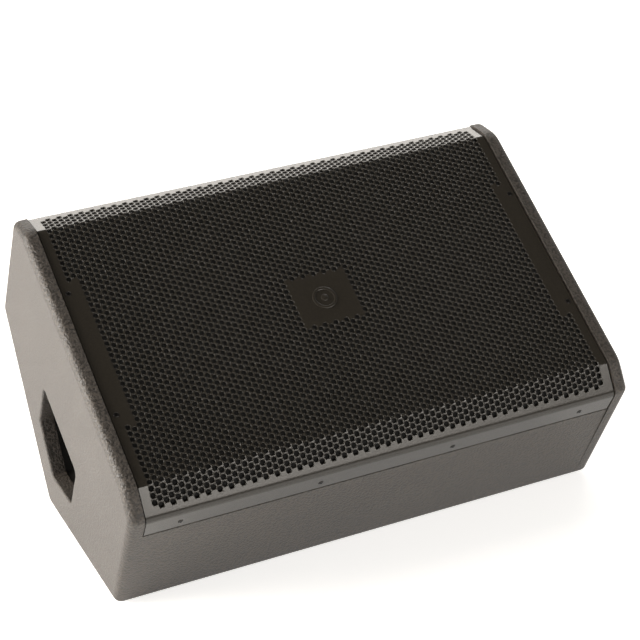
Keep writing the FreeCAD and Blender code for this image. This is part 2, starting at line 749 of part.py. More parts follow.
def input_plate():
    body = new_body("input_plate")
    plate = sketch(body, "plate", "YZ_Plane", lift=f"{FLOOR_X} - plate_thick")
    rectangle(plate, "-plate_half", "-plate_low", "plate_half", "-plate_top")
    circle(plate, "-socket_y", "-socket_z", "socket_radius + 0.3")
    circle(plate, "socket_y", "-socket_z", "socket_radius + 0.3")
    rectangle(plate, "-switch_travel/2 - 3.4", "-switch_z - 2.6",
              "switch_travel/2 + 3.4", "-switch_z + 2.6")
    made = pad(body, plate, "plate_thick")
    corners = edges_along_x(made, [("-plate_half", "-plate_low"), ("plate_half", "-plate_low"),
                                   ("plate_half", "-plate_top"), ("-plate_half", "-plate_top")])
    fillet(body, made, corners, "5", "corners")
    fixings = bores("plate_fixing", size("1.5 + screw_play"), 8, plate_screw_spots())
    sockets = bores("plate_socket", size("1.5 + screw_play"), 8, socket_screw_spots())
    drilled = cut("input_plate_drilled", body, fixings)
    keep(cut("input_plate_tapped", drilled, sockets), "input_plate", seat)


def input_socket(label, side):
    """Round locking loudspeaker socket: flange, open shell, and a core in the bore."""
    body = new_body(label)
    centre = f"{side}*socket_y"
    face = f"{FLOOR_X} - plate_thick - socket_flange_thick"
    flange = sketch(body, "flange", "YZ_Plane", lift=face)
    rectangle(flange, f"{centre} - socket_flange_wide/2", "-socket_z - socket_flange_tall/2",
              f"{centre} + socket_flange_wide/2", "-socket_z + socket_flange_tall/2")
    made = pad(body, flange, "socket_flange_thick")
    corners = [(f"{centre} + {a}*socket_flange_wide/2", f"-socket_z + {b}*socket_flange_tall/2")
               for a in (-1, 1) for b in (-1, 1)]
    fillet(body, made, edges_along_x(made, corners), "3", "corners")
    shell = sketch(body, "shell", "YZ_Plane", lift=face)
    circle(shell, centre, "-socket_z", "socket_radius")
    pad(body, shell, "socket_depth + socket_back")
    bore = sketch(body, "bore", "YZ_Plane", lift=face)
    circle(bore, centre, "-socket_z", "socket_bore")
    circle(bore, centre, "-socket_z", "socket_core")
    pocket(body, bore, "socket_depth", backwards=True)
    spots = [(p, a) for p, a in socket_screw_spots() if p.y * side > 0]
    keep(cut(label + "_drilled", body, bores(label, size("1.5 + screw_play"), 8, spots)), label, seat)


def small_screws(label, spots, head_radius, length):
    made = screw(head_radius, 1.8, 1.5, length)
    keep(gathered(label, [placed(made, point, axis) for point, axis in spots]), label, seat)


def selector_switch():
    """Slide switch behind the plate, and its cap, which travels in the plate's slot."""
    back = f"{FLOOR_X}"
    housing = block("switch_housing", (f"{back} + 0.2", "-13", "-switch_z - 6"),
                    (f"{back} + 11", "13", "-switch_z + 6"))
    window = block("switch_window", (f"{back} - 1", "-switch_travel/2 - 2.6", "-switch_z - 2.3"),
                   (f"{back} + 5", "switch_travel/2 + 2.6", "-switch_z + 2.3"))
    keep(cut("switch", housing, window), "selector_body", seat)
    cap = block("switch_cap", (f"{back} - plate_thick - 2.5", "-switch_travel/2 - 2", "-switch_z - 1.9"),
                (f"{back} + 4.5", "-switch_travel/2 + 2", "-switch_z + 1.9"))
    keep(cap, "selector_slider", seat)


# ---------------------------------------------------------------- ports

def port_tube(label, side):
    body = new_body(label)
    profile = sketch(body, "profile", "XZ_Plane", across="horn_x", lift=f"{-side}*port_y")
    wall = "(port_radius - port_wall)"
    polygon(profile, [
        (wall, "-baffle_top - port_length"), ("port_radius - 0.1", "-baffle_top - port_length"),
        ("port_radius - 0.1", "-baffle_top"), ("port_lip", "-baffle_top"), ("port_lip", "-baffle_top + 2"),
        (f"{wall} + 4", "-baffle_top + 2"), (wall, "-baffle_top - 4")])
    revolve(body, profile)
    keep(body, label, seat)


# ---------------------------------------------------------------- woofer

FRAME_Z = "(baffle_top - gasket_thick)"
RIM = "(woofer_hole - 3)"
SEAT_Z = "(basket_low + 6)"


def turned(label, profile, across, arcs=None, place=None):
    """A piece turned about an axis along z at x = across, from its (radius, z) profile."""
    body = new_body(label)
    drawing = sketch(body, "profile", "XZ_Plane", across=across)
    polygon(drawing, profile, arcs)
    revolve(body, drawing)
    if place is not None:
        keep(body, label, place)
    return body


def woofer_basket():
    """Cast frame: flange, sloping legs round six windows, and a floor that carries the motor."""
    body = turned("woofer_basket", [
        (f"{RIM} - 3", f"-{FRAME_Z} + flange_thick"), (f"{RIM} - 3", f"-{FRAME_Z}"),
        ("basket_hub - 4", "-basket_low"), ("gap_radius + 4", "-basket_low"),
        ("gap_radius + 4", f"-{SEAT_Z}"), ("basket_hub + 3", f"-{SEAT_Z}"), (RIM, f"-{FRAME_Z} - 9"),
        (RIM, f"-{FRAME_Z}"), ("woofer_radius", f"-{FRAME_Z}"),
        ("woofer_radius", f"-{FRAME_Z} + flange_thick")], "woofer_x")
    window = sketch(body, "window", "XY_Plane", lift="-basket_low + 4", across="woofer_x")
    inner, outer = "(basket_hub + 5)", f"({RIM} - 10)"
    polygon(window, [
        (f"{inner}*cos(16)", f"-{inner}*sin(16)"), (f"{outer}*cos(21)", f"-{outer}*sin(21)"),
        (f"{outer}*cos(21)", f"{outer}*sin(21)"), (f"{inner}*cos(16)", f"{inner}*sin(16)")],
        {1: (outer, "0"), 3: (inner, "0")})
    opened = pocket(body, window, backwards=True)
    polar(body, opened, window, 6)
    bolts = bores("basket", size("3 + screw_play"), 12, woofer_bolt_spots())
    keep(cut("basket_drilled", body, bolts), "woofer_basket", seat)


def woofer_gasket():
    flat = ring("woofer_gasket", "woofer_radius - 1", "woofer_hole + 1",
                "-baffle_top", f"-{FRAME_Z}", "woofer_x")
    bolts = bores("gasket", size("3 + screw_play"), 12, woofer_bolt_spots())
    keep(cut("gasket_drilled", flat, bolts), "woofer_gasket", seat)


def woofer_motor():
    plate_low = f"-{SEAT_Z} - 8"
    magnet_low = f"{plate_low} - 20"
    keep(ring("top_plate", "top_plate_radius", "gap_radius", plate_low, f"-{SEAT_Z}", "woofer_x"),
         "woofer_top_plate", seat)
    keep(ring("magnet", "magnet_radius", "magnet_bore", magnet_low, plate_low, "woofer_x"),
         "woofer_magnet", seat)
    turned("woofer_pole_piece", [
        ("6", f"{magnet_low} - 10"), ("top_plate_radius - 2", f"{magnet_low} - 10"),
        ("top_plate_radius - 2", magnet_low), ("pole_radius", magnet_low),
        ("pole_radius", f"-{SEAT_Z} + 1"), ("6", f"-{SEAT_Z} + 1")], "woofer_x", place=seat)


def dome_middle(rim_radius, rim_z, top_z):
    """A point halfway out on the spherical cap between a rim and its top, both on the same axis."""
    rise = f"(({top_z}) - ({rim_z}))"
    sphere = f"((({rim_radius})^2 + {rise}^2)/(2*{rise}))"
    return f"({rim_radius})/2", f"({top_z}) - {sphere} + sqrt({sphere}^2 - ({rim_radius})^2/4)"


def woofer_moving_parts():
    """Cone, dust cap and voice coil, which travel together, with the surround and the spider."""
    turned("woofer_cone", [
        ("cone_radius", "-cone_rim_z"), ("cone_neck", "-cone_neck_z"), ("cone_neck", "-cone_neck_z - 6"),
        ("cone_neck + cone_thick", "-cone_neck_z - 6"), ("cone_neck + cone_thick", "-cone_neck_z - 0.5"),
        ("cone_radius", "-cone_rim_z - cone_thick")], "woofer_x",
        {0: ("(cone_radius + cone_neck)/2 + 5", "-(cone_rim_z + cone_neck_z)/2 - 4"),
         4: ("(cone_radius + cone_neck)/2 + 6.5", "-(cone_rim_z + cone_neck_z)/2 - 5.5")}, seat)
    cap_z = "(cone_neck_z - (cap_radius - cone_neck)*0.74 - 4)"
    turned("dust_cap", [
        ("0", f"-{cap_z} + 20"), ("0", f"-{cap_z} + 19"), ("cap_radius - 1.6", f"-{cap_z} + 2"),
        ("cap_radius", f"-{cap_z} + 2.4")], "woofer_x",
        {1: dome_middle("cap_radius - 1.6", f"-{cap_z} + 2", f"-{cap_z} + 19"),
         3: dome_middle("cap_radius", f"-{cap_z} + 2.4", f"-{cap_z} + 20")}, seat)
    keep(ring("coil", "coil_radius", "coil_radius - coil_thick", "-coil_low", "-cone_neck_z + 2", "woofer_x"),
         "voice_coil", seat)
    roll_in, roll_out = "cone_radius + 0.3", f"({RIM} - 3.3)"
    middle = f"(({roll_in}) + {roll_out})/2"
    turned("woofer_surround", [
        (roll_in, "-cone_rim_z + 0.2"), (roll_in, "-cone_rim_z - 1.2"),
        (roll_out, "-cone_rim_z - 1.2"), (roll_out, "-cone_rim_z + 0.2")], "woofer_x",
        {1: (middle, "-cone_rim_z + 7.8"), 3: (middle, "-cone_rim_z + 9.2")}, seat)
    spider_z = "(cone_neck_z + 14)"
    keep(ring("spider", "basket_hub - 6.5", "coil_radius + 0.3", f"-{spider_z} - 1", f"-{spider_z} + 1",
              "woofer_x"), "woofer_spider", seat)


def woofer_terminals():
    """Two push terminals on a tag board bolted to the basket's floor edge."""
    low = f"-{SEAT_Z} - 6.5"
    near, far = "-basket_hub - 3", "-basket_hub + 0.5"
    board = block("tag_board", ("woofer_x - 14", near, low), ("woofer_x + 14", far, f"-{SEAT_Z}"))
    keep(board, "woofer_tag_board", seat)
    tabs = []
    for i, reach in enumerate((-10, 5)):
        start, end = f"woofer_x + {reach}", f"woofer_x + {reach + 5}"
        tabs.append(block(f"tab_{i}", (start, f"{near} - 6", low), (end, near, f"{low} + 5")))
    keep(fuse("tabs", *tabs), "woofer_terminals", seat)


def woofer_bolts():
    made = screw(6, 4, 3, 30, key_across=5)
    shapes = [placed(made, point, axis) for point, axis in woofer_bolt_spots()]
    keep(gathered("woofer_bolts", shapes), "woofer_bolts", seat)


# ---------------------------------------------------------------- waveguide and compression driver

HORN_Z = "(baffle_top - gasket_thick)"


def waveguide():
    """Square-flanged round horn, flaring from the throat to the mouth, with a bolt-on throat flange."""
    body = new_body("waveguide")
    flange = sketch(body, "flange", "XY_Plane", lift=f"-{HORN_Z}")
    rectangle(flange, "horn_x - horn_half", "-horn_half", "horn_x + horn_half", "horn_half")
    circle(flange, "horn_x", "0", "horn_mouth - 0.2")
    pad(body, flange, "horn_flange_thick")
    wall = sketch(body, "wall", "XZ_Plane", across="horn_x")
    top = f"-{HORN_Z} + horn_flange_thick"
    polygon(wall, [
        ("horn_mouth", top), ("horn_throat", "-throat_z"), ("throat_flange", "-throat_z"),
        ("throat_flange", "-throat_z + 7"), ("horn_throat + 13", "-throat_z + 7"),
        ("horn_mouth + horn_wall", f"-{HORN_Z}"), ("horn_mouth + horn_wall", top)],
        {0: ("horn_throat + 17", "-throat_z + 68"), 4: ("horn_throat + 24", "-throat_z + 62")})
    revolve(body, wall)
    fixings = bores("waveguide", size("screw_radius + screw_play"), 12, horn_screw_spots())
    drilled = cut("waveguide_drilled", body, fixings)
    studs = bores("throat", size("3 + screw_play"), 18, driver_bolt_spots())
    keep(cut("waveguide_tapped", drilled, studs), "waveguide", seat)


def waveguide_gasket():
    square = block("horn_gasket", ("horn_x - horn_half + 2", "-horn_half + 2", "-baffle_top"),
                   ("horn_x + horn_half - 2", "horn_half - 2", f"-{HORN_Z}"))
    hole = block("horn_gasket_hole", ("horn_x - horn_hole_half - 1", "-horn_hole_half - 1", "-baffle_top"),
                 ("horn_x + horn_hole_half + 1", "horn_hole_half + 1", f"-{HORN_Z}"))
    flat = cut("horn_gasket_flat", square, hole)
    fixings = bores("horn_gasket", size("screw_radius + screw_play"), 12, horn_screw_spots())
    keep(cut("horn_gasket_drilled", flat, fixings), "waveguide_gasket", seat)


def waveguide_screws():
    made = screw(4.4, 2.6, size("screw_radius"), 20, key_across=3)
    keep(gathered("waveguide_screws", [placed(made, p, a) for p, a in horn_screw_spots()]),
         "waveguide_screws", seat)


def compression_driver():
    """Front plate, phase plug, titanium diaphragm, ferrite magnet and rear cover."""
    front = "-throat_z - 6"
    plate = ring("driver_plate", "throat_flange", "horn_throat + 1", front, "-throat_z", "horn_x")
    studs = bores("driver_plate", size("3 + screw_play"), 18, driver_bolt_spots())
    keep(cut("driver_plate_drilled", plate, studs), "driver_front_plate", seat)
    turned("driver_phase_plug", [
        ("0", "-throat_z - 4"), ("10", "-throat_z - 19"), ("10", "-throat_z - 24"), ("0", "-throat_z - 24")],
        "horn_x", place=seat)
    keep(ring("driver_magnet", "driver_radius", "horn_throat + 1", "-throat_z - 30", front, "horn_x"),
         "driver_magnet", seat)
    dome = "(throat_z + 40)"
    turned("driver_diaphragm", [
        ("0", f"-{dome} + 9"), ("0", f"-{dome} + 8.4"), ("24", f"-{dome}"), ("33", f"-{dome}"),
        ("33", f"-{dome} + 0.6"), ("24.3", f"-{dome} + 0.6")], "horn_x",
        {1: dome_middle("24", f"-{dome}", f"-{dome} + 8.4"),
         5: dome_middle("24.3", f"-{dome} + 0.6", f"-{dome} + 9")}, seat)
    turned("driver_rear_cover", [
        ("34", "-throat_z - 30"), ("34", "-throat_z - 54"), ("0", "-throat_z - 58"), ("0", "-throat_z - 62"),
        ("driver_radius - 6", "-throat_z - 61"), ("driver_radius", "-throat_z - 55"),
        ("driver_radius", "-throat_z - 30")], "horn_x", place=seat)
    keep(gathered("driver_bolts", [placed(screw(3.6, 3, 3, 12), p, a) for p, a in driver_bolt_spots()]),
         "driver_bolts", seat)


# ---------------------------------------------------------------- crossover, on the level floor of the box

def crossover():
    """Board on four standoffs, with two air coils, three capacitors and two resistors."""
    x0, x1 = "board_x - board_long/2", "board_x + board_long/2"
    y0, y1 = "board_y - board_wide/2", "board_y + board_wide/2"
    top = "board_gap + board_thick"
    keep(block("crossover", (x0, y0, "board_gap"), (x1, y1, top)), "crossover_board", level)
    pillars = []
    for x in (f"{x0} + 8", f"{x1} - 8"):
        for y in (f"{y0} + 8", f"{y1} - 8"):
            pillars.append(cylinder(f"pillar_{len(pillars)}", "4", "board_gap", (x, y, "0")))
    keep(fuse("pillars", *pillars), "crossover_standoffs", level)
    coils = []
    for i, (x, y) in enumerate((("board_x - 50", "board_y + 20"), ("board_x + 12", "board_y + 22"))):
        outer = cylinder(f"coil_{i}_outside", "24", "26", (x, y, top))
        hole = cylinder(f"coil_{i}_core", "10", "26", (x, y, top))
        coils.append(cut(f"coil_{i}", outer, hole))
    keep(fuse("coils", *coils), "crossover_coils", level)
    cans = []
    for i, reach in enumerate((11, 11, 8)):
        height = f"{top} + {reach}"
        place = (f"board_x - 66 + {i * 46}", "board_y - 36", height)
        cans.append(cylinder(f"can_{i}", f"{reach} - 0.1", "42", place, RIGHT))
    keep(fuse("cans", *cans), "crossover_capacitors", level)
    bricks = [block(f"brick_{i}", (f"board_x + 50 + {16 * i}", "board_y + 4", f"{top}"),
                    (f"board_x + 60 + {16 * i}", "board_y + 44", f"{top} + 10")) for i in range(2)]
    keep(fuse("bricks", *bricks), "crossover_resistors", level)


# ---------------------------------------------------------------- leads and wadding

def lead(label, points):
    """Two-core lead: straight runs joined by tangent arcs."""
    edges = []
    last = points[0]
    for before, corner, after in zip(points, points[1:], points[2:]):
        into, out = (corner - before).normalize(), (after - corner).normalize()
        turn = into.getAngle(out)
        trim = 0.45 * min((corner - before).Length, (after - corner).Length)
        start, stop = corner - into * trim, corner + out * trim
        bisector = (out - into).normalize()
        radius = trim / math.tan(turn / 2)
        centre = corner + bisector * (radius / math.cos(turn / 2))
        middle = centre - bisector * radius
        print(f"{label}: radius {radius:.1f}")
        edges.append(Part.LineSegment(last, start).toShape())
        edges.append(Part.Arc(start, middle, stop).toShape())
        last = stop
    edges.append(Part.LineSegment(last, points[-1]).toShape())
    path = Part.Wire(edges)
    radius = size("lead_radius")
    section = Part.Wire(Part.makeCircle(radius, points[0], (points[1] - points[0]).normalize()))
    tube = path.makePipeShell([section], True, False)
    expected = math.pi * radius ** 2 * path.Length
    print(f"{label}: volume {tube.Volume:.0f}, expected {expected:.0f}, length {path.Length:.0f}")
    piece = doc.addObject("Part::Feature", label + "_tube")
    piece.Shape = tube
    keep(piece, label, seat)


def leads():
    socket_end = V(size(f"{FLOOR_X} + socket_depth + socket_back - plate_thick - socket_flange_thick"),
                   size("socket_y"), -size("socket_z"))
    board = seat.inverse().multiply(level)
    middle, height = size("board_y"), size("board_gap + board_thick/2")
    left, right = size("board_x - board_long/2"), size("board_x + board_long/2")
    left_edge = board.multVec(V(left, middle - 10, height))
    right_edge = board.multVec(V(right, middle - 20, height))
    left_high = board.multVec(V(left, middle + 30, height))
    lead("input_lead", [
        socket_end, socket_end + V(30, 0, 0), V(-164, -16, -256), V(-118, -36, -258), V(-72, -50, -260),
        left_edge + V(-24, 0, 0), left_edge])
    terminal = V(size("woofer_x") - 7.5, -size("basket_hub") - 6, -size(SEAT_Z) - 6.5)
    lead("woofer_lead", [
        right_edge, right_edge + V(16, 0, 0), V(178, -136, -238), V(160, -128, -205), V(126, -110, -170),
        terminal + V(0, 0, -10), terminal])
    cover = V(size("horn_x") + size("driver_radius") + 0.1, 10, -size("throat_z") - 44)
    lead("driver_lead", [
        cover, cover + V(16, 0, 0), V(-114, 0, -214), V(-90, -22, -244), V(-66, -50, -268),
        left_high + V(-16, 0, 0), left_high])


def damping_wadding():
    """Polyester wadding on the rear panel and under the top panel, inside the box."""
    body = new_body("damping_wadding")
    outline = sketch(body, "outline", "YZ_Plane", lift="brace_at + shell + 2")
    thick = "22"
    off = f"({REAR} - shell - 0.5)"
    polygon(outline, [
        ("40", f"-({off} - 40*sin(tilt))/cos(tilt)"), ("200", f"-({off} - 200*sin(tilt))/cos(tilt)"),
        (f"200 - {thick}*sin(tilt)", f"-({off} - 200*sin(tilt))/cos(tilt) + {thick}*cos(tilt)"),
        (f"40 - {thick}*sin(tilt)", f"-({off} - 40*sin(tilt))/cos(tilt) + {thick}*cos(tilt)")])
    pad(body, outline, "300")
    keep(body, "damping_wadding", seat)


# ---------------------------------------------------------------- build

def standing_place():
    """Lean the box back and set its feet on z = 0, with the origin under the middle of its depth."""
    lean = FreeCAD.Rotation(RIGHT, size("tilt"))
    angle = math.radians(size("tilt"))
    outer = Part.Face(Part.makePolygon([
        V(0, size("side_fold"), size("side_proud")), V(0, size("half_depth"), -size("shoulder_drop")),
        V(0, size("low_half"), -size("low_drop")), V(0, 0, -size(APEX)),
        V(0, -size("low_half"), -size("low_drop")), V(0, -size("half_depth"), -size("shoulder_drop")),
        V(0, -size("side_fold"), size("side_proud")), V(0, size("side_fold"), size("side_proud"))]))
    inset = outer.makeOffset2D(-size("corner_round"))
    inset.Placement = FreeCAD.Placement(V(), lean)
    box = inset.BoundBox
    middle = (box.YMin + box.YMax) / 2
    return FreeCAD.Placement(V(0, -middle, size("foot_proud") + size(REAR)), lean)


seat = standing_place()
level = FreeCAD.Placement(V(0, 0, size("foot_proud + shell")), FreeCAD.Rotation())

side_panel("side_panel_left", -1)
side_panel("side_panel_right", 1)
upright_panel("front_panel", -1)
upright_panel("top_panel", 1)
lower_panel("bottom_panel", -1)
lower_panel("rear_panel", 1)
baffle_board()
brace_board()
grille_rails()
grille()
grille_foam()
grille_screws()
feet("floor_feet", -1)
feet("rear_feet", 1)
foot_screws()
handle_cup("left_handle_cup", -1)
handle_cup("right_handle_cup", 1)
cup_screws()
input_plate()
input_socket("input_socket_a", -1)
input_socket("input_socket_b", 1)
small_screws("plate_screws", plate_screw_spots(), 2.9, 7)
small_screws("socket_screws", socket_screw_spots(), 2.6, 6)
selector_switch()
port_tube("upper_port_tube", 1)
port_tube("lower_port_tube", -1)
woofer_basket()
woofer_gasket()
woofer_motor()
woofer_moving_parts()
woofer_terminals()
woofer_bolts()
waveguide()
waveguide_gasket()
waveguide_screws()
compression_driver()
crossover()
leads()
damping_wadding()

doc.recompute()
for item in doc.Objects:
    if "Invalid" in item.State or "Error" in item.State:
        raise RuntimeError(f"{item.Name} did not build: {item.State}")
for piece in PARTS:
    if piece.Shape.isNull() or not piece.Shape.isValid():
        raise RuntimeError(f"{piece.Label} has no valid shape")
    if any(solid.Volume <= 0 for solid in piece.Shape.Solids) or not piece.Shape.Solids:
        raise RuntimeError(f"{piece.Label} has no solid")

os.makedirs("parts", exist_ok=True)
for piece in PARTS:
    piece.Shape.exportStep(f"parts/{piece.Label}.step")
print(f"{len(PARTS)} parts written")
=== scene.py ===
"""Looks of a stage monitor wedge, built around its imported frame.

The grille, its screws and the feet are made here by Geometry Nodes. The soft pieces are turned
profiles, a sheet and a remeshed pad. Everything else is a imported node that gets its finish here.
"""

import json
import logging
import math
from dataclasses import dataclass, field
from enum import Enum

import bpy
from mathutils import Matrix, Vector


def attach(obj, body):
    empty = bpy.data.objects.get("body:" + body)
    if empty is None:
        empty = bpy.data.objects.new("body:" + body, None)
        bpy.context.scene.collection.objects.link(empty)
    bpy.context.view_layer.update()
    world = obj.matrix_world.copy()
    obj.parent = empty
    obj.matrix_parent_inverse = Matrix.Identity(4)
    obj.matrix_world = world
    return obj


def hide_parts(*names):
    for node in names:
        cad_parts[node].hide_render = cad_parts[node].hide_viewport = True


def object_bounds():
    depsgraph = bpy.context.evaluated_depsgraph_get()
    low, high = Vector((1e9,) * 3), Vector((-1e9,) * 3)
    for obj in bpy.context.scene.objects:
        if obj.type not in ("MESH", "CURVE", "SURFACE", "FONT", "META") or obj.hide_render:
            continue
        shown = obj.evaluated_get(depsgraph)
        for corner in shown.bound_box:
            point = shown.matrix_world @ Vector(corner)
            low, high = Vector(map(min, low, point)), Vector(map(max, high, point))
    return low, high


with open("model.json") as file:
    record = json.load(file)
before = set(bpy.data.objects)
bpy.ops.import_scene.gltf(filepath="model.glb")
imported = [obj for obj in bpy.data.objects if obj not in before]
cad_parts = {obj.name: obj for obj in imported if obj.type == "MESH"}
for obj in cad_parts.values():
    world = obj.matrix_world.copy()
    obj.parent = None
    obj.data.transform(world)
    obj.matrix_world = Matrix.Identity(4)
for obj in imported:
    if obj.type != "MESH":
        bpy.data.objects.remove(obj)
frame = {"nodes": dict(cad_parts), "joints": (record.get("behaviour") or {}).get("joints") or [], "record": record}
CAD_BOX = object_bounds()

LOG = logging.getLogger("wedge")
MM = 0.001
DUST = "#8d8780"
DUST_PATCH_MM = 38.0
WANDER = 30 * MM


# ---------------------------------------------------------------- colours and nodes

def linear(code: str) -> tuple[float, float, float, float]:
    """Turn an sRGB hex colour into linear values.

    Args:
        code: Colour such as "#2f2c26".

    Returns:
        Linear red, green, blue and an alpha of one.
    """
    levels = [int(code[i:i + 2], 16) / 255 for i in (1, 3, 5)]
    values = [c / 12.92 if c <= 0.04045 else ((c + 0.055) / 1.055) ** 2.4 for c in levels]
    return (*values, 1.0)


def add_node(tree: bpy.types.NodeTree, kind: str, inputs: dict | None = None, **settings) -> bpy.types.Node:
    """Add one node with its settings and links.

    Args:
        tree: Tree that gets the node.
        kind: The node's type, such as "ShaderNodeMath".
        inputs: Value, or (node, output) to link from, for each input by name or number.
        **settings: The node's own properties.

    Returns:
        The new node.
    """
    node = tree.nodes.new(kind)
    for name, value in settings.items():
        setattr(node, name, value)
    for key, value in (inputs or {}).items():
        socket = node.inputs[key]
        if isinstance(value, tuple) and isinstance(value[0], bpy.types.Node):
            tree.links.new(value[0].outputs[value[1]], socket)
        else:
            socket.default_value = value
    return node


class Pattern(Enum):
    """What the eye sees in a finish."""

    SPATTER = "hard blobs of sprayed coating"
    PEEL = "orange peel of powder coat"
    GRAIN = "even spark-eroded grain of a moulding"
    BRUSHED = "fine parallel lines of rolled or plated metal"
    CELLS = "open cells of foam"
    WEAVE = "crossed threads of a doped cloth"
    FIBRES = "matted fibres of paper pulp or wadding"
    WINDING = "turns of enamelled wire"
    WOOD = "long grain of painted plywood"


@dataclass(frozen=True)
class Finish:
    """One real finish: its colours, gloss and the pattern that its making leaves."""

    name: str
    dark: str
    light: str
    pattern: Pattern
    detail_mm: float
    relief_mm: float
    roughness: float
    roughness_spread: float = 0.08
    metallic: float = 0.0
    sheen: float = 0.0
    dust: float = 0.0

    def material(self) -> bpy.types.Material:
        """Build the material once and give it again after that.

        Returns:
            The node-based material.
        """
        known = bpy.data.materials.get(self.name)
        if known is not None:
            return known
        made = bpy.data.materials.new(self.name)
        made.use_nodes = True
        tree = made.node_tree
        tree.nodes.clear()
        place = add_node(tree, "ShaderNodeTexCoord")
        height, shade = self._pattern(tree, place)
        ramp = add_node(tree, "ShaderNodeMix", {"Factor": shade, 6: linear(self.dark), 7: linear(self.light)},
                        data_type="RGBA")
        colour = (ramp, 2)
        if self.dust:
            colour = self._dusted(tree, place, colour)
        gloss = add_node(tree, "ShaderNodeMapRange", {
            "Value": shade, "To Min": self.roughness - self.roughness_spread,
            "To Max": self.roughness + self.roughness_spread})
        bump = add_node(tree, "ShaderNodeBump", {
            "Height": height, "Distance": self.relief_mm * MM, "Strength": 1.0})
        shader = add_node(tree, "ShaderNodeBsdfPrincipled", {
            "Base Color": colour, "Roughness": (gloss, "Result"), "Normal": (bump, "Normal"),
            "Metallic": self.metallic, "Sheen Weight": self.sheen})
        add_node(tree, "ShaderNodeOutputMaterial", {"Surface": (shader, "BSDF")})
        return made

    @staticmethod
    def _noise(tree: bpy.types.NodeTree, place: tuple, size_mm: float,
               detail: float = 3.0) -> bpy.types.Node:
        """Noise whose blobs are about size_mm across, so that it repeats about every 2 * size_mm."""
        return add_node(tree, "ShaderNodeTexNoise", {
            "Vector": place, "Scale": 1.0 / (size_mm * 2 * MM), "Detail": detail, "Roughness": 0.55})

    def _pattern(self, tree: bpy.types.NodeTree, place: bpy.types.Node) -> tuple[tuple, tuple]:
        """Build the pattern's height and shade.

        Args:
            tree: The material's tree.
            place: Texture coordinate node.

        Returns:
            (node, output) of the height and of the shade, both from 0 to 1.
        """
        where = (place, "Object")
        size = self.detail_mm
        if self.pattern in (Pattern.BRUSHED, Pattern.WOOD, Pattern.FIBRES):
            long = {Pattern.BRUSHED: 40.0, Pattern.WOOD: 14.0, Pattern.FIBRES: 5.0}[self.pattern]
            stretch = add_node(tree, "ShaderNodeMapping", {"Vector": where, "Scale": (1.0 / long, 1.0, 1.0)})
            lines = self._noise(tree, (stretch, "Vector"), size)
            return (lines, "Fac"), (lines, "Fac")
        if self.pattern is Pattern.CELLS:
            cells = add_node(tree, "ShaderNodeTexVoronoi", {"Vector": where, "Scale": 1.0 / (size * MM)})
            return (cells, "Distance"), (cells, "Distance")
        if self.pattern in (Pattern.WEAVE, Pattern.WINDING):
            return self._bands(tree, where)
        blobs = self._noise(tree, where, size, 2.0)
        fine = self._noise(tree, where, size * 0.35, 2.0)
        cloud = self._noise(tree, where, size * 60, 2.0)
        firm = add_node(tree, "ShaderNodeMapRange", {
            "Value": (blobs, "Fac"), "From Min": 0.40, "From Max": 0.60})
        both = add_node(tree, "ShaderNodeMix", {"Factor": 0.3, 2: (firm, "Result"), 3: (fine, "Fac")})
        clouded = add_node(tree, "ShaderNodeMix", {"Factor": 0.22, 2: (both, 0), 3: (cloud, "Fac")})
        return (both, 0), (clouded, 0)

    def _bands(self, tree: bpy.types.NodeTree, where: tuple) -> tuple[tuple, tuple]:
        """Threads in one direction, or crossed, a detail_mm apart."""
        scale = 1.0 / (self.detail_mm * MM) / (2 * math.pi) * 2
        warp = add_node(tree, "ShaderNodeTexWave", {"Vector": where, "Scale": scale, "Distortion": 0.4},
                        bands_direction="X")
        if self.pattern is Pattern.WINDING:
            return (warp, "Fac"), (warp, "Fac")
        weft = add_node(tree, "ShaderNodeTexWave", {"Vector": where, "Scale": scale, "Distortion": 0.4},
                        bands_direction="Y")
        cross = add_node(tree, "ShaderNodeMath", {0: (warp, "Fac"), 1: (weft, "Fac")}, operation="MAXIMUM")
        return (cross, 0), (cross, 0)

    def _dusted(self, tree: bpy.types.NodeTree, place: bpy.types.Node, colour: tuple) -> tuple:
        """Pale scuffs of stage dust in broad, broken patches over the colour."""
        broad = self._noise(tree, (place, "Object"), DUST_PATCH_MM, 6.0)
        patch = add_node(tree, "ShaderNodeMapRange", {
            "Value": (broad, "Fac"), "From Min": 0.56, "From Max": 0.78, "To Max": self.dust})
        mixed = add_node(tree, "ShaderNodeMix", {"Factor": (patch, "Result"), 6: colour, 7: linear(DUST)},
                         data_type="RGBA")
        return (mixed, 2)


# Two-part spatter coating sprayed on birch plywood: a hard, warm dark grey with a fine speckle.
# The speckle repeats about every 3 mm. A finer one, like the real one, averages out and does not show.
CABINET = Finish("spatter_coated_plywood", "#070605", "#4e4740",
                 Pattern.SPATTER, 1.6, 0.6, 0.50, 0.10, dust=0.05)
# Polyester powder coat on sheet steel: satin black, with a shallow orange peel.
GRILLE = Finish("powder_coated_steel", "#26231e", "#2f2b25", Pattern.PEEL, 0.9, 0.015, 0.25, 0.02)
# The same kind of coat on a deep-drawn steel cup: darker and duller, because it lies in shade.
CUP = Finish("powder_coated_pressed_steel", "#161513", "#211f1d", Pattern.PEEL, 0.8, 0.03, 0.42)
# Birch plywood, painted matt black inside the box: long grain under the paint.
PLYWOOD = Finish("black_painted_plywood", "#171614", "#26231f", Pattern.WOOD, 0.9, 0.08, 0.75)
# Open-cell foam: black, with no gloss and visible pores.
FOAM = Finish("reticulated_foam", "#070707", "#141312", Pattern.CELLS, 1.1, 0.8, 0.95, 0.02)
# Black zinc plating on screws: dark metal with a dull glint.
BLACK_SCREW = Finish("black_zinc_plated_steel", "#1b1a19", "#2d2b29",
                     Pattern.BRUSHED, 0.25, 0.01, 0.30, metallic=0.7)
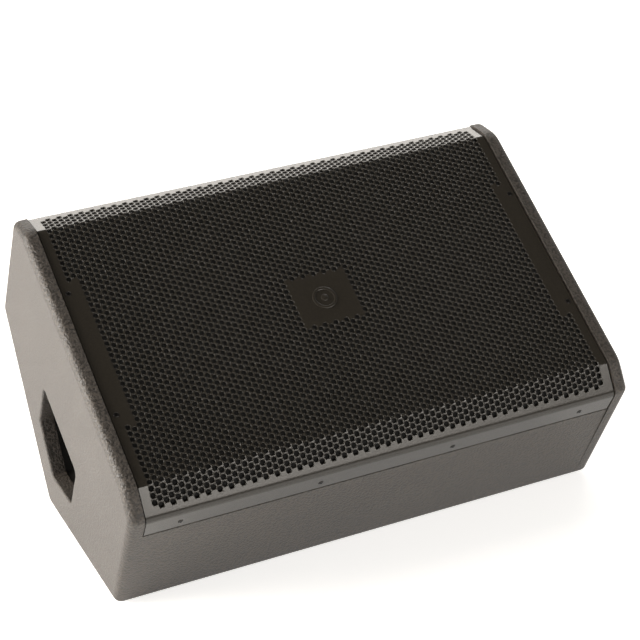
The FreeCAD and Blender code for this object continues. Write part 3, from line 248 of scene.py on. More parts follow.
# Bright zinc plating: pale, slightly bluish-grey metal with faint lines.
ZINC = Finish("zinc_plated_steel", "#8e8d88", "#b9b8b2", Pattern.BRUSHED, 0.2, 0.01, 0.33, metallic=1.0)
# Anodised and brushed aluminium: cold black with a silky line.
PLATE = Finish("black_anodised_aluminium", "#17171a", "#222226",
               Pattern.BRUSHED, 0.15, 0.01, 0.35, metallic=0.6)
# Moulded glass-filled nylon: satin black with an even, fine grain.
NYLON = Finish("glass_filled_nylon", "#131314", "#1e1e20", Pattern.GRAIN, 0.35, 0.02, 0.50)
# Unfilled grey nylon: paler, with a soft gloss.
GREY_NYLON = Finish("grey_nylon", "#8b8a85", "#9d9c97", Pattern.GRAIN, 0.3, 0.02, 0.45)
# Moulded ABS: black, even, a little glossier than the nylon.
HORN = Finish("moulded_black_abs", "#151515", "#1f1f1f", Pattern.GRAIN, 0.5, 0.03, 0.48)
# Vulcanised rubber: matt black that holds some floor dust.
RUBBER = Finish("vulcanised_rubber", "#131312", "#1e1d1c", Pattern.GRAIN, 0.5, 0.05, 0.80, dust=0.15)
# Coated die casting: black with a coarse peel and a trace of metal.
CASTING = Finish("black_coated_die_casting", "#191918", "#2a2a28",
                 Pattern.PEEL, 1.2, 0.08, 0.55, metallic=0.2)
# Felted paper pulp: matt, with short fibres.
PAPER = Finish("felted_paper_cone", "#161513", "#262421", Pattern.FIBRES, 0.7, 0.12, 0.85, sheen=0.1)
# Doped poly-cotton: woven threads under a dull coat.
CLOTH = Finish("doped_poly_cotton_cloth", "#14130f", "#2a2721", Pattern.WEAVE, 0.8, 0.12, 0.78, sheen=0.15)
# Enamelled wire: parallel copper turns with a clear, warm gloss.
COPPER = Finish("enamelled_copper_wire", "#7a3b18", "#c0713a", Pattern.WINDING, 0.9, 0.2, 0.28, metallic=1.0)
# Sintered ferrite: matt, stony dark grey.
FERRITE = Finish("sintered_ferrite", "#1a1a1b", "#29292b", Pattern.GRAIN, 0.7, 0.05, 0.62)
# Formed titanium foil: thin, bright and faintly lined.
FOIL = Finish("formed_titanium_foil", "#9b9a9c", "#c4c3c5", Pattern.BRUSHED, 0.2, 0.01, 0.25, metallic=1.0)
# Glass-epoxy board: green lacquer over a faint weave.
BOARD = Finish("glass_epoxy_board", "#123d22", "#1f5a33", Pattern.WEAVE, 0.6, 0.02, 0.40)
# Tinned brass: pale yellow metal.
BRASS = Finish("tinned_brass", "#a98d52", "#cdb57c", Pattern.BRUSHED, 0.2, 0.01, 0.32, metallic=1.0)
# Heat-shrunk sleeve: smooth blue plastic.
SLEEVE = Finish("heat_shrunk_sleeve", "#1d2747", "#2d3b66", Pattern.GRAIN, 0.5, 0.02, 0.35)
# Soft PVC sheath: smooth, dull black.
PVC = Finish("soft_pvc_sheath", "#141414", "#1f1f1f", Pattern.GRAIN, 0.4, 0.02, 0.55)
# Polyester wadding: off-white, matted, with a soft sheen.
WADDING = Finish("polyester_wadding", "#c9c6bd", "#efece4", Pattern.FIBRES, 0.6, 0.6, 0.95, sheen=0.3)

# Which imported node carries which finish.
NODE_FINISHES: dict[Finish, tuple[str, ...]] = {
    CABINET: ("side_panel_left", "side_panel_right", "front_panel", "top_panel", "bottom_panel", "rear_panel"),
    PLYWOOD: ("baffle_board", "brace_board", "grille_rails"),
    GRILLE: ("grille",),
    CUP: ("left_handle_cup", "right_handle_cup"),
    BLACK_SCREW: ("grille_screws", "woofer_bolts", "waveguide_screws", "plate_screws"),
    ZINC: ("foot_screws", "cup_screws", "socket_screws", "driver_bolts", "woofer_top_plate",
           "woofer_pole_piece", "driver_front_plate"),
    PLATE: ("input_plate",),
    NYLON: ("input_socket_a", "input_socket_b", "selector_body", "driver_phase_plug"),
    GREY_NYLON: ("selector_slider", "crossover_standoffs", "crossover_resistors"),
    HORN: ("waveguide", "upper_port_tube", "lower_port_tube"),
    RUBBER: ("floor_feet", "rear_feet", "woofer_gasket", "waveguide_gasket"),
    CASTING: ("woofer_basket", "driver_rear_cover"),
    COPPER: ("voice_coil", "crossover_coils"),
    FERRITE: ("woofer_magnet", "driver_magnet"),
    FOIL: ("driver_diaphragm",),
    BOARD: ("woofer_tag_board", "crossover_board"),
    BRASS: ("woofer_terminals",),
    SLEEVE: ("crossover_capacitors",),
    PVC: ("input_lead", "woofer_lead", "driver_lead"),
    PAPER: ("woofer_cone", "dust_cap"),
    CLOTH: ("woofer_surround", "woofer_spider"),
    FOAM: ("grille_foam",),
    WADDING: ("damping_wadding",),
}


# ---------------------------------------------------------------- places

@dataclass(frozen=True)
class Seat:
    """The baffle's leaning frame: x across, y up the slope, z out of the grille's face."""

    matrix: Matrix

    @classmethod
    def from_frame(cls) -> "Seat":
        """Read the lean from the woofer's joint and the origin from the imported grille.

        Returns:
            The seat of the baffle.
        """
        joint = next(j for j in frame["joints"] if j["name"] == "woofer_travel")
        out = Vector(joint["axis"]).normalized()
        across = Vector((1.0, 0.0, 0.0))
        up = out.cross(across)
        corners = [v.co for v in frame["nodes"]["grille"].data.vertices]
        heights = [c.dot(up) for c in corners]
        origin = up * ((min(heights) + max(heights)) / 2) + out * max(c.dot(out) for c in corners)
        turn = Matrix((across, up, out)).transposed().to_4x4()
        return cls(Matrix.Translation(origin) @ turn)

    def local_points(self, node: str) -> list[Vector]:
        """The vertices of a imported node, in this frame."""
        back = self.matrix.inverted()
        return [back @ v.co for v in frame["nodes"][node].data.vertices]


def mesh_object(name: str, verts: list[tuple], faces: list[tuple]) -> bpy.types.Object:
    """Make an object from vertices and faces.

    Args:
        name: The object's name.
        verts: Corner positions in metres.
        faces: Vertex numbers of each face.

    Returns:
        The linked object.
    """
    mesh = bpy.data.meshes.new(name)
    mesh.from_pydata(verts, [], faces)
    mesh.update()
    piece = bpy.data.objects.new(name, mesh)
    bpy.context.scene.collection.objects.link(piece)
    return piece


def finish_piece(piece: bpy.types.Object, finish: Finish, body: str = "enclosure",
                 replaces: tuple[str, ...] = ()) -> bpy.types.Object:
    """Dress a finished piece and hand it to the frame.

    Args:
        piece: Object whose place is in its mesh.
        finish: What it is finished with.
        body: Body that it rides on.
        replaces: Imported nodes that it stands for.

    Returns:
        The same object.
    """
    piece.data.materials.clear()
    piece.data.materials.append(finish.material())
    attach(piece, body)
    if replaces:
        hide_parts(*replaces)
    LOG.info("%s: %d faces, on %s", piece.name, len(piece.data.polygons), body)
    return piece


def turned(name: str, profile: list[tuple[float, float]], place: Matrix, segments: int) -> bpy.types.Object:
    """Turn a closed profile about its own z axis.

    Args:
        name: The object's name.
        profile: (radius, height) points in millimetres, anticlockwise as seen with z up and radius right.
        place: Where the turned piece's origin and axis lie.
        segments: Steps round the axis.

    Returns:
        A smooth-shaded object with its place in its mesh.
    """
    verts = []
    rings = []
    for radius, height in profile:
        if radius == 0.0:
            rings.append([len(verts)] * segments)
            verts.append((0.0, 0.0, height * MM))
            continue
        rings.append(list(range(len(verts), len(verts) + segments)))
        for i in range(segments):
            angle = 2 * math.pi * i / segments
            verts.append((radius * math.cos(angle) * MM, radius * math.sin(angle) * MM, height * MM))
    faces = []
    for low, high in zip(rings, rings[1:] + rings[:1]):
        for i in range(segments):
            j = (i + 1) % segments
            corners = dict.fromkeys((low[i], low[j], high[j], high[i]))
            if len(corners) > 2:
                faces.append(tuple(corners))
    piece = mesh_object(name, verts, faces)
    piece.data.transform(place)
    piece.data.shade_smooth()
    piece.data.set_sharp_from_angle(angle=math.radians(40))
    return piece


# ---------------------------------------------------------------- Geometry Nodes

@dataclass
class NodeRecipe:
    """A Geometry Nodes tree with named inputs that is run once and turned into a plain mesh."""

    name: str
    tree: bpy.types.NodeTree = field(init=False)
    source: bpy.types.Node = field(init=False)

    def __post_init__(self) -> None:
        """Make the empty tree with its geometry input and output."""
        self.tree = bpy.data.node_groups.new(self.name, "GeometryNodeTree")
        face = self.tree.interface
        face.new_socket("Geometry", in_out="OUTPUT", socket_type="NodeSocketGeometry")
        face.new_socket("Geometry", in_out="INPUT", socket_type="NodeSocketGeometry")
        self.source = self.tree.nodes.new("NodeGroupInput")

    def input(self, name: str, kind: str = "NodeSocketFloat") -> tuple:
        """Add a named input and give its (node, output) pair."""
        self.tree.interface.new_socket(name, in_out="INPUT", socket_type=kind)
        return self.source, name

    def node(self, kind: str, inputs: dict | None = None, **settings) -> bpy.types.Node:
        """Add a node to this tree."""
        return add_node(self.tree, kind, inputs, **settings)

    def math(self, operation: str, first: tuple | float, second: tuple | float = 0.0) -> tuple:
        """One arithmetic step, given as its (node, output) pair."""
        return self.node("ShaderNodeMath", {0: first, 1: second}, operation=operation), 0

    def both(self, first: tuple, second: tuple) -> tuple:
        """True where both are true."""
        return self.node("FunctionNodeBooleanMath", {0: first, 1: second}, operation="AND"), 0

    def finish(self, geometry: tuple) -> None:
        """Realize, set the material and end the tree.

        Args:
            geometry: (node, output) of the tree's last geometry.
        """
        real = self.node("GeometryNodeRealizeInstances", {"Geometry": geometry})
        dress = self.node("GeometryNodeSetMaterial", {
            "Geometry": (real, 0), "Material": (self.source, "Finish")})
        self.node("NodeGroupOutput", {"Geometry": (dress, 0)})

    def run(self, base: bpy.types.Object, name: str, values: dict) -> bpy.types.Object:
        """Evaluate the tree on a base object.

        Args:
            base: Object that the modifier sits on while it runs.
            name: Name of the resulting object.
            values: The value of each named input.

        Returns:
            A plain mesh object.
        """
        modifier = base.modifiers.new(self.name, "NODES")
        modifier.node_group = self.tree
        for item in self.tree.interface.items_tree:
            if item.in_out == "INPUT" and item.name in values:
                modifier[item.identifier] = values[item.name]
        bpy.context.view_layer.update()
        ready = base.evaluated_get(bpy.context.evaluated_depsgraph_get())
        mesh = bpy.data.meshes.new_from_object(ready)
        base.modifiers.remove(modifier)
        mesh.name = name
        piece = bpy.data.objects.new(name, mesh)
        bpy.context.scene.collection.objects.link(piece)
        return piece


def discard(*objects: bpy.types.Object) -> None:
    """Remove template objects that are no longer needed."""
    for item in objects:
        bpy.data.objects.remove(item)


@dataclass
class Grille:
    """Perforated, bent sheet of the grille, with its blank plate and embossed mark."""

    seat: Seat
    pitch: float = 8.78 * MM
    hole_radius: float = 3.5 * MM
    rim_round: float = 0.46 * MM
    hole_sides: int = 10
    columns: int = 41
    rows: int = 26
    plain_columns: int = 39
    plain_half: float = 114 * MM
    plate_half: tuple[float, float] = (45.5 * MM, 37.5 * MM)
    thickness: float = 1.5 * MM
    fold_y: float = 195.5 * MM
    facet_angle: float = 30.0
    fold_radius: float = 4 * MM
    bend_radius: float = 10 * MM
    fold_row: float = 22.3
    middle_row: float = -0.3
    lip_steps: int = 41
    bend_steps: int = 8

    @property
    def step(self) -> float:
        """Distance between two columns of holes."""
        return self.pitch * math.sqrt(3) / 2

    def outline(self) -> tuple[list[tuple], float]:
        """The section of the sheet's outer face as six corners.

        Returns:
            The corners in the seat's frame, and half the grille's width.
        """
        points = self.seat.local_points("grille")
        reach = max(p.y for p in points)
        foot = min(p.z for p in points)
        drop = -(reach - self.fold_y) * math.tan(math.radians(self.facet_angle))
        side = [(0.0, reach, foot), (0.0, reach, drop), (0.0, self.fold_y, 0.0)]
        corners = [(x, -y, z) for x, y, z in side] + side[::-1]
        return corners, max(p.x for p in points)

    def cell(self, name: str, holed: bool, half: bool = False) -> bpy.types.Object:
        """One tile of the sheet, open only round its outer edge.

        Args:
            name: Name of the template.
            holed: Whether it has a hole with a rounded rim.
            half: Whether it is a half tile for the ends of the shifted columns.

        Returns:
            The template, with its outer face on z = 0.
        """
        wide, tall = self.step / 2, self.pitch / (4 if half else 2)
        rim = [(wide, -tall), (wide, tall), (-wide, tall), (-wide, -tall)]
        if not half:
            rim = [(wide, -tall), (wide, 0.0), (wide, tall), (-wide, tall), (-wide, 0.0), (-wide, -tall)]
        loops = [(rim, 0.0)]
        if holed:
            for radius, level in ((self.hole_radius + self.rim_round, 0.0),
                                  (self.hole_radius, -self.rim_round), (self.hole_radius, -self.thickness)):
                loops.append(([self._corner(radius, i) for i in range(self.hole_sides)], level))
        loops.append((rim, -self.thickness))
        verts = [(x, y, level) for loop, level in loops for x, y in loop]
        starts = [sum(len(loop) for loop, _ in loops[:i]) for i in range(len(loops))]
        if not holed:
            ring = range(len(rim))
            return mesh_object(name, verts, [tuple(ring), tuple(len(rim) + i for i in reversed(ring))])
        faces = self._zip(rim, loops[1][0], starts[0], starts[1])
        sides = self.hole_sides
        for high, low in ((starts[1], starts[2]), (starts[2], starts[3])):
            faces += [(high + i, high + (i + 1) % sides, low + (i + 1) % sides, low + i) for i in range(sides)]
        faces += [face[::-1] for face in self._zip(rim, loops[3][0], starts[4], starts[3])]
        return mesh_object(name, verts, faces)

    def _corner(self, radius: float, number: int) -> tuple[float, float]:
        """One corner of a hole's polygon."""
        angle = 2 * math.pi * (number + 0.5) / self.hole_sides
        return radius * math.cos(angle), radius * math.sin(angle)

    @staticmethod
    def _zip(rim: list[tuple], inner: list[tuple], rim_start: int, inner_start: int) -> list[tuple]:
        """Triangles between two loops round the same centre, both anticlockwise.

        Args:
            rim: Outer loop.
            inner: Inner loop.
            rim_start: Number of the outer loop's first vertex.
            inner_start: Number of the inner loop's first vertex.

        Returns:
            Faces that look along +z.
        """
        def angle(point: tuple) -> float:
            """Angle of a point round the centre, from 0 to a full turn."""
            return math.atan2(point[1], point[0]) % (2 * math.pi)

        outer = sorted(range(len(rim)), key=lambda i: angle(rim[i]))
        core = sorted(range(len(inner)), key=lambda i: angle(inner[i]))
        steps = sorted([(angle(rim[i]), 0) for i in outer] + [(angle(inner[i]), 1) for i in core])
        at = [len(outer) - 1, len(core) - 1]
        faces = []
        for _, loop in steps:
            before_rim = outer[at[0] % len(outer)] + rim_start
            before_core = core[at[1] % len(core)] + inner_start
            at[loop] += 1
            if loop == 0:
                faces.append((before_rim, outer[at[0] % len(outer)] + rim_start, before_core))
            else:
                faces.append((before_rim, core[at[1] % len(core)] + inner_start, before_core))
        return faces

    def recipe(self) -> NodeRecipe:
        """The tree that lays one stretch of the cells and borders, closes its edges and bends it."""
        made = NodeRecipe("perforated_sheet")
        pitch, step = made.input("Pitch"), made.input("Step")
        half_width, thickness = made.input("Half Width"), made.input("Thickness")
        start, end = made.input("From"), made.input("To")
        fold, bend = made.input("Fold Radius"), made.input("Bend Radius")
        plate_x, plate_y = made.input("Plate X"), made.input("Plate Y")
        plain = made.input("Plain Half")
        holed = made.input("Holed Cell", "NodeSocketObject")
        blank = made.input("Blank Cell", "NodeSocketObject")
        half = made.input("Half Cell", "NodeSocketObject")
        made.input("Finish", "NodeSocketMaterial")

        line = made.node("GeometryNodeMeshToCurve", {"Mesh": (made.source, "Geometry")})
        corner = made.node("ShaderNodeSeparateXYZ", {"Vector": (made.node("GeometryNodeInputPosition"), 0)})
        at_lip = made.math("LESS_THAN", (corner, "Z"), made.math("MULTIPLY", thickness, -1.0))
        radius = made.node("GeometryNodeSwitch", {"Switch": at_lip, "False": fold, "True": bend},
                           input_type="FLOAT")
        profile = made.node("GeometryNodeFilletCurve", {
            "Curve": (line, 0), "Count": self.bend_steps, "Radius": (radius, 0), "Limit Radius": True},
            mode="POLY")
        length = made.node("GeometryNodeCurveLength", {"Curve": (profile, 0)})
        half_length = made.math("DIVIDE", (length, 0), 2.0)

        across = 2 * self.columns
        spots = made.node("GeometryNodeMeshGrid", {
            "Size X": made.math("MULTIPLY", step, float(across)),
            "Size Y": made.math("MULTIPLY", pitch, float(2 * self.rows - 1)),
            "Vertices X": across + 1, "Vertices Y": 2 * self.rows})
        where = made.node("GeometryNodeInputPosition")
        parts = made.node("ShaderNodeSeparateXYZ", {"Vector": (where, 0)})
        column = made.math("ROUND", made.math("ABSOLUTE", made.math("DIVIDE", (parts, "X"), step)))
        odd = made.math("MODULO", column, 2.0)
        shift = made.node("ShaderNodeCombineXYZ", {
            "Y": made.math("MULTIPLY", made.math("MULTIPLY", odd, 0.5), pitch)})
        staggered = made.node("GeometryNodeSetPosition", {"Geometry": (spots, 0), "Offset": (shift, 0)})
        past_end = made.math("GREATER_THAN", (parts, "Y"), made.math("MULTIPLY", pitch, self.rows - 0.4))
        before = made.math("LESS_THAN", (parts, "Y"), start)
        after = made.math("GREATER_THAN", (parts, "Y"), end)
        outside = made.node("FunctionNodeBooleanMath", {0: before, 1: after}, operation="OR")
        dropped = made.node("FunctionNodeBooleanMath", {0: (outside, 0), 1: past_end}, operation="OR")
        kept = made.node("GeometryNodeDeleteGeometry", {"Geometry": (staggered, 0), "Selection": (dropped, 0)},
                         domain="POINT")
        far_x = made.math("ABSOLUTE", (parts, "X"))
        far_y = made.math("ABSOLUTE", (parts, "Y"))
        on_plate = made.both(made.math("LESS_THAN", far_x, plate_x), made.math("LESS_THAN", far_y, plate_y))
        at_side = made.both(made.math("GREATER_THAN", column, self.plain_columns + 0.5),
                            made.math("LESS_THAN", far_y, plain))
        covered = made.node("FunctionNodeBooleanMath", {0: on_plate, 1: at_side}, operation="OR")
        open_here = made.node("FunctionNodeBooleanMath", {0: (covered, 0)}, operation="NOT")
        layers = []
        for template, chosen in ((holed, (open_here, 0)), (blank, (covered, 0))):
            shape = made.node("GeometryNodeObjectInfo", {"Object": template})
            layers.append(made.node("GeometryNodeInstanceOnPoints", {
                "Points": (kept, 0), "Selection": chosen, "Instance": (shape, "Geometry")}))
        ends = made.node("GeometryNodeMeshGrid", {
            "Size X": made.math("MULTIPLY", step, float(across)),
            "Size Y": made.math("MULTIPLY", pitch, 2 * self.rows - 0.5),
            "Vertices X": self.columns + 1, "Vertices Y": 2})
        near_ends = made.node("GeometryNodeDeleteGeometry", {"Geometry": (ends, 0), "Selection": (outside, 0)},
                              domain="POINT")
        shape = made.node("GeometryNodeObjectInfo", {"Object": half})
        layers.append(made.node("GeometryNodeInstanceOnPoints", {
            "Points": (near_ends, 0), "Instance": (shape, "Geometry")}))

        borders = made.node("GeometryNodeJoinGeometry")
        for strip in self._borders(made, pitch, step, half_width, half_length):
            made.tree.links.new(strip.outputs[0], borders.inputs[0])
        stretch = made.node("GeometryNodeDeleteGeometry", {"Geometry": (borders, 0), "Selection": (outside, 0)},
                            domain="FACE")
        down = made.node("ShaderNodeCombineXYZ", {"Z": made.math("MULTIPLY", thickness, -1.0)})
        lowered = made.node("GeometryNodeSetPosition", {"Geometry": (stretch, 0), "Offset": (down, 0)})
        layers += [stretch, made.node("GeometryNodeFlipFaces", {"Mesh": (lowered, 0)})]

        flat = made.node("GeometryNodeJoinGeometry")
        for layer in layers:
            made.tree.links.new(layer.outputs[0], flat.inputs[0])
        real = made.node("GeometryNodeRealizeInstances", {"Geometry": (flat, 0)})
        welded = made.node("GeometryNodeMergeByDistance", {"Geometry": (real, 0), "Distance": 0.02 * MM})
        beside = made.node("GeometryNodeInputMeshEdgeNeighbors")
        loose = made.math("LESS_THAN", (beside, 0), 1.5)
        on_front = made.math("GREATER_THAN", (parts, "Z"), made.math("MULTIPLY", thickness, -0.5))
        walls = made.node("GeometryNodeExtrudeMesh", {
            "Mesh": (welded, 0), "Selection": made.both(loose, on_front), "Offset": (down, 0),
            "Offset Scale": 1.0}, mode="EDGES")
        whole = made.node("GeometryNodeMergeByDistance", {"Geometry": (walls, 0), "Distance": 0.02 * MM})

        along = made.math("ADD", (parts, "Y"), half_length)
        sample = made.node("GeometryNodeSampleCurve", {"Curves": (profile, 0), "Length": along}, mode="LENGTH")
        normal = made.node("ShaderNodeVectorMath", {0: (1.0, 0.0, 0.0), 1: (sample, "Tangent")},
                           operation="CROSS_PRODUCT")
        inward = made.node("ShaderNodeVectorMath", {0: (normal, 0), "Scale": (parts, "Z")}, operation="SCALE")
        sideways = made.node("ShaderNodeCombineXYZ", {"X": (parts, "X")})
        surface = made.node("ShaderNodeVectorMath", {0: (sample, "Position"), 1: (sideways, 0)},
                            operation="ADD")
        target = made.node("ShaderNodeVectorMath", {0: (surface, 0), 1: (inward, 0)}, operation="ADD")
        bent = made.node("GeometryNodeSetPosition", {"Geometry": (whole, 0), "Position": (target, 0)})
        made.finish((smooth_by_angle(made, (bent, 0), 50.0), 0))
        return made

    def _borders(self, made: NodeRecipe, pitch: tuple, step: tuple, half_width: tuple,
                 half_length: tuple) -> list[bpy.types.Node]:
        """Outer face of the plain strips beside the cells and out to the feet of both lips.

        Args:
            made: Recipe that gets the nodes.
            pitch: (node, output) of the pitch of the holes.
            step: (node, output) of the distance between columns.
            half_width: (node, output) of half the grille's width.
            half_length: (node, output) of half the unrolled length.

        Returns:
            Nodes whose first output is one strip each.
        """
        cells_half = made.math("MULTIPLY", step, self.columns + 0.5)
        gap = made.math("SUBTRACT", half_width, cells_half)
        centre = made.math("ADD", cells_half, made.math("DIVIDE", gap, 2.0))
        strip = made.node("GeometryNodeMeshGrid", {
            "Size X": gap, "Size Y": made.math("MULTIPLY", pitch, 2.0 * self.rows),
            "Vertices X": 2, "Vertices Y": 4 * self.rows + 1})
        cells_end = made.math("MULTIPLY", pitch, float(self.rows))
        tail = made.math("SUBTRACT", half_length, cells_end)
        apron = made.node("GeometryNodeMeshGrid", {
            "Size X": made.math("MULTIPLY", step, 2.0 * self.columns + 3), "Size Y": tail,
            "Vertices X": 2 * self.columns + 4, "Vertices Y": self.lip_steps})
        here = made.node("ShaderNodeSeparateXYZ", {"Vector": (made.node("GeometryNodeInputPosition"), 0)})
        at_edge = made.math("GREATER_THAN", made.math("ABSOLUTE", (here, "X")),
                            made.math("MULTIPLY", step, self.columns + 1.0))
        edge_x = made.math("MULTIPLY", made.math("SIGN", (here, "X")), half_width)
        moved = made.node("ShaderNodeCombineXYZ", {"X": edge_x, "Y": (here, "Y")})
        trimmed = made.node("GeometryNodeSetPosition", {
            "Geometry": (apron, 0), "Selection": at_edge, "Position": (moved, 0)})
        reach = made.math("ADD", cells_end, made.math("DIVIDE", tail, 2.0))
        strips = []
        for side in (-1.0, 1.0):
            aside = made.node("ShaderNodeCombineXYZ", {"X": made.math("MULTIPLY", centre, side)})
            strips.append(made.node("GeometryNodeSetPosition", {"Geometry": (strip, 0), "Offset": (aside, 0)}))
            away = made.node("ShaderNodeCombineXYZ", {"Y": made.math("MULTIPLY", reach, side)})
            strips.append(made.node("GeometryNodeSetPosition", {"Geometry": (trimmed, 0), "Offset": (away, 0)}))
        return strips

    def build(self) -> None:
        """Make both halves of the field, the two folded stretches and the mark, and dress them."""
        corners, half_width = self.outline()
        base = mesh_object("grille_section", corners, [])
        base.data.edges.add(len(corners) - 1)
        for i, edge in enumerate(base.data.edges):
            edge.vertices = (i, i + 1)
        cells = (self.cell("holed_cell", True), self.cell("blank_cell", False),
                 self.cell("half_cell", False, half=True))
        recipe = self.recipe()
        fold, middle, far = self.fold_row * self.pitch, self.middle_row * self.pitch, 1.0
        dress = GRILLE.material()
        for name, start, end in (("grille_front_fold", -far, -fold), ("grille_field_lower", -fold, middle),
                                 ("grille_field_upper", middle, fold), ("grille_top_fold", fold, far)):
            piece = recipe.run(base, name, {
                "Pitch": self.pitch, "Step": self.step, "Half Width": half_width, "Thickness": self.thickness,
                "From": start, "To": end, "Fold Radius": self.fold_radius, "Bend Radius": self.bend_radius,
                "Plate X": self.plate_half[0], "Plate Y": self.plate_half[1], "Plain Half": self.plain_half,
                "Holed Cell": cells[0], "Blank Cell": cells[1], "Half Cell": cells[2],
                "Finish": dress})
            piece.data.transform(self.seat.matrix)
            finish_piece(piece, GRILLE, replaces=("grille",))
        discard(base, *cells)
        self.mark()

    def mark(self) -> None:
        """Plain embossed ring and centre dot in the middle of the blank plate."""
        ridge = [(12.4, -0.2), (16.8, -0.2), (16.6, 0.7), (16.0, 1.1), (13.2, 1.1), (12.6, 0.7)]
        ring = turned("grille_mark_ring", ridge, self.seat.matrix, 72)
        finish_piece(ring, GRILLE)
        dome = [(0.0, -0.2), (5.2, -0.2), (5.0, 0.6), (4.4, 1.0), (0.0, 1.2)]
        dot = turned("grille_mark_dot", dome, self.seat.matrix, 48)
        finish_piece(dot, GRILLE)


def smooth_by_angle(made: NodeRecipe, geometry: tuple, degrees: float) -> bpy.types.Node:
    """Shade smooth, but keep every edge sharper than an angle.

    Args:
        made: Recipe that gets the nodes.
        geometry: (node, output) of the mesh.
        degrees: Edges that turn by more than this stay sharp.

    Returns:
        The last node, whose first output is the mesh.
    """
    soft = made.node("GeometryNodeSetShadeSmooth", {"Geometry": geometry, "Shade Smooth": True}, domain="FACE")
    turn = made.node("GeometryNodeInputMeshEdgeAngle")
    sharp = made.math("GREATER_THAN", (turn, 0), math.radians(degrees))
    return made.node("GeometryNodeSetShadeSmooth", {
        "Geometry": (soft, 0), "Selection": sharp, "Shade Smooth": False}, domain="EDGE")


@dataclass
class Repeats:
    """Copies of one small piece, set on points with a direction each."""

    seed: int = 7

    def recipe(self) -> NodeRecipe:
        """The tree that sets a template on every point, along its axis and turned at random."""
        made = NodeRecipe("set_on_points")
        template = made.input("Template", "NodeSocketObject")
        seed = made.input("Seed", "NodeSocketInt")
        made.input("Finish", "NodeSocketMaterial")
        shape = made.node("GeometryNodeObjectInfo", {"Object": template})
        axis = made.node("GeometryNodeInputNamedAttribute", {"Name": "axis"}, data_type="FLOAT_VECTOR")
        turn = made.node("FunctionNodeAlignRotationToVector", {"Vector": (axis, 0)}, axis="Z")
        spin = made.node("FunctionNodeRandomValue", {2: 0.0, 3: 2 * math.pi, "Seed": seed}, data_type="FLOAT")
        about = made.node("ShaderNodeCombineXYZ", {"Z": (spin, 1)})
        rotation = made.node("FunctionNodeRotateRotation", {"Rotation": (turn, 0), "Rotate By": (about, 0)},
                             rotation_space="LOCAL")
        points = made.node("GeometryNodeInstanceOnPoints", {
            "Points": (made.source, "Geometry"), "Instance": (shape, "Geometry"), "Rotation": (rotation, 0)})
        made.finish((points, 0))
        return made

    def build(self, name: str, template: bpy.types.Object, spots: list[tuple[Vector, Vector]],
              finish: Finish, slot: str, replaces: tuple[str, ...]) -> bpy.types.Object:
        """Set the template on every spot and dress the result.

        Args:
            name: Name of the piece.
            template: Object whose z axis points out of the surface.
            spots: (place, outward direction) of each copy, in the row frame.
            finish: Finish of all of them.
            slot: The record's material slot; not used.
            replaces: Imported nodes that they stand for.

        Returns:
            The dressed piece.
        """
        base = mesh_object(name + "_spots", [tuple(place) for place, _ in spots], [])
        axes = base.data.attributes.new("axis", "FLOAT_VECTOR", "POINT")
        axes.data.foreach_set("vector", [c for _, axis in spots for c in axis])
        piece = self.recipe().run(base, name, {"Template": template, "Seed": self.seed,
                                               "Finish": finish.material()})
        discard(base, template)
        return finish_piece(piece, finish, replaces=replaces)


def islands(node: str) -> list[tuple[Vector, Vector]]:
    """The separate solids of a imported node.

    Args:
        node: A node that holds several identical solids.

    Returns:
        Lowest and highest corner of each solid's box.
    """
    mesh = frame["nodes"][node].data
    keys = [tuple(round(c * 1e5) for c in v.co) for v in mesh.vertices]
    parent = {key: key for key in keys}

    def root(key: tuple) -> tuple:
        """The point that stands for a connected group."""
        while parent[key] != key:
            parent[key] = parent[parent[key]]
            key = parent[key]
        return key

    for polygon in mesh.polygons:
        first, *others = [keys[i] for i in polygon.vertices]
        for other in others:
            parent[root(other)] = root(first)
    groups: dict[tuple, list[Vector]] = {}
    for key, vertex in zip(keys, mesh.vertices):
        groups.setdefault(root(key), []).append(vertex.co)
    return [(Vector([min(p[i] for p in g) for i in range(3)]), Vector([max(p[i] for p in g) for i in range(3)]))
            for g in groups.values()]


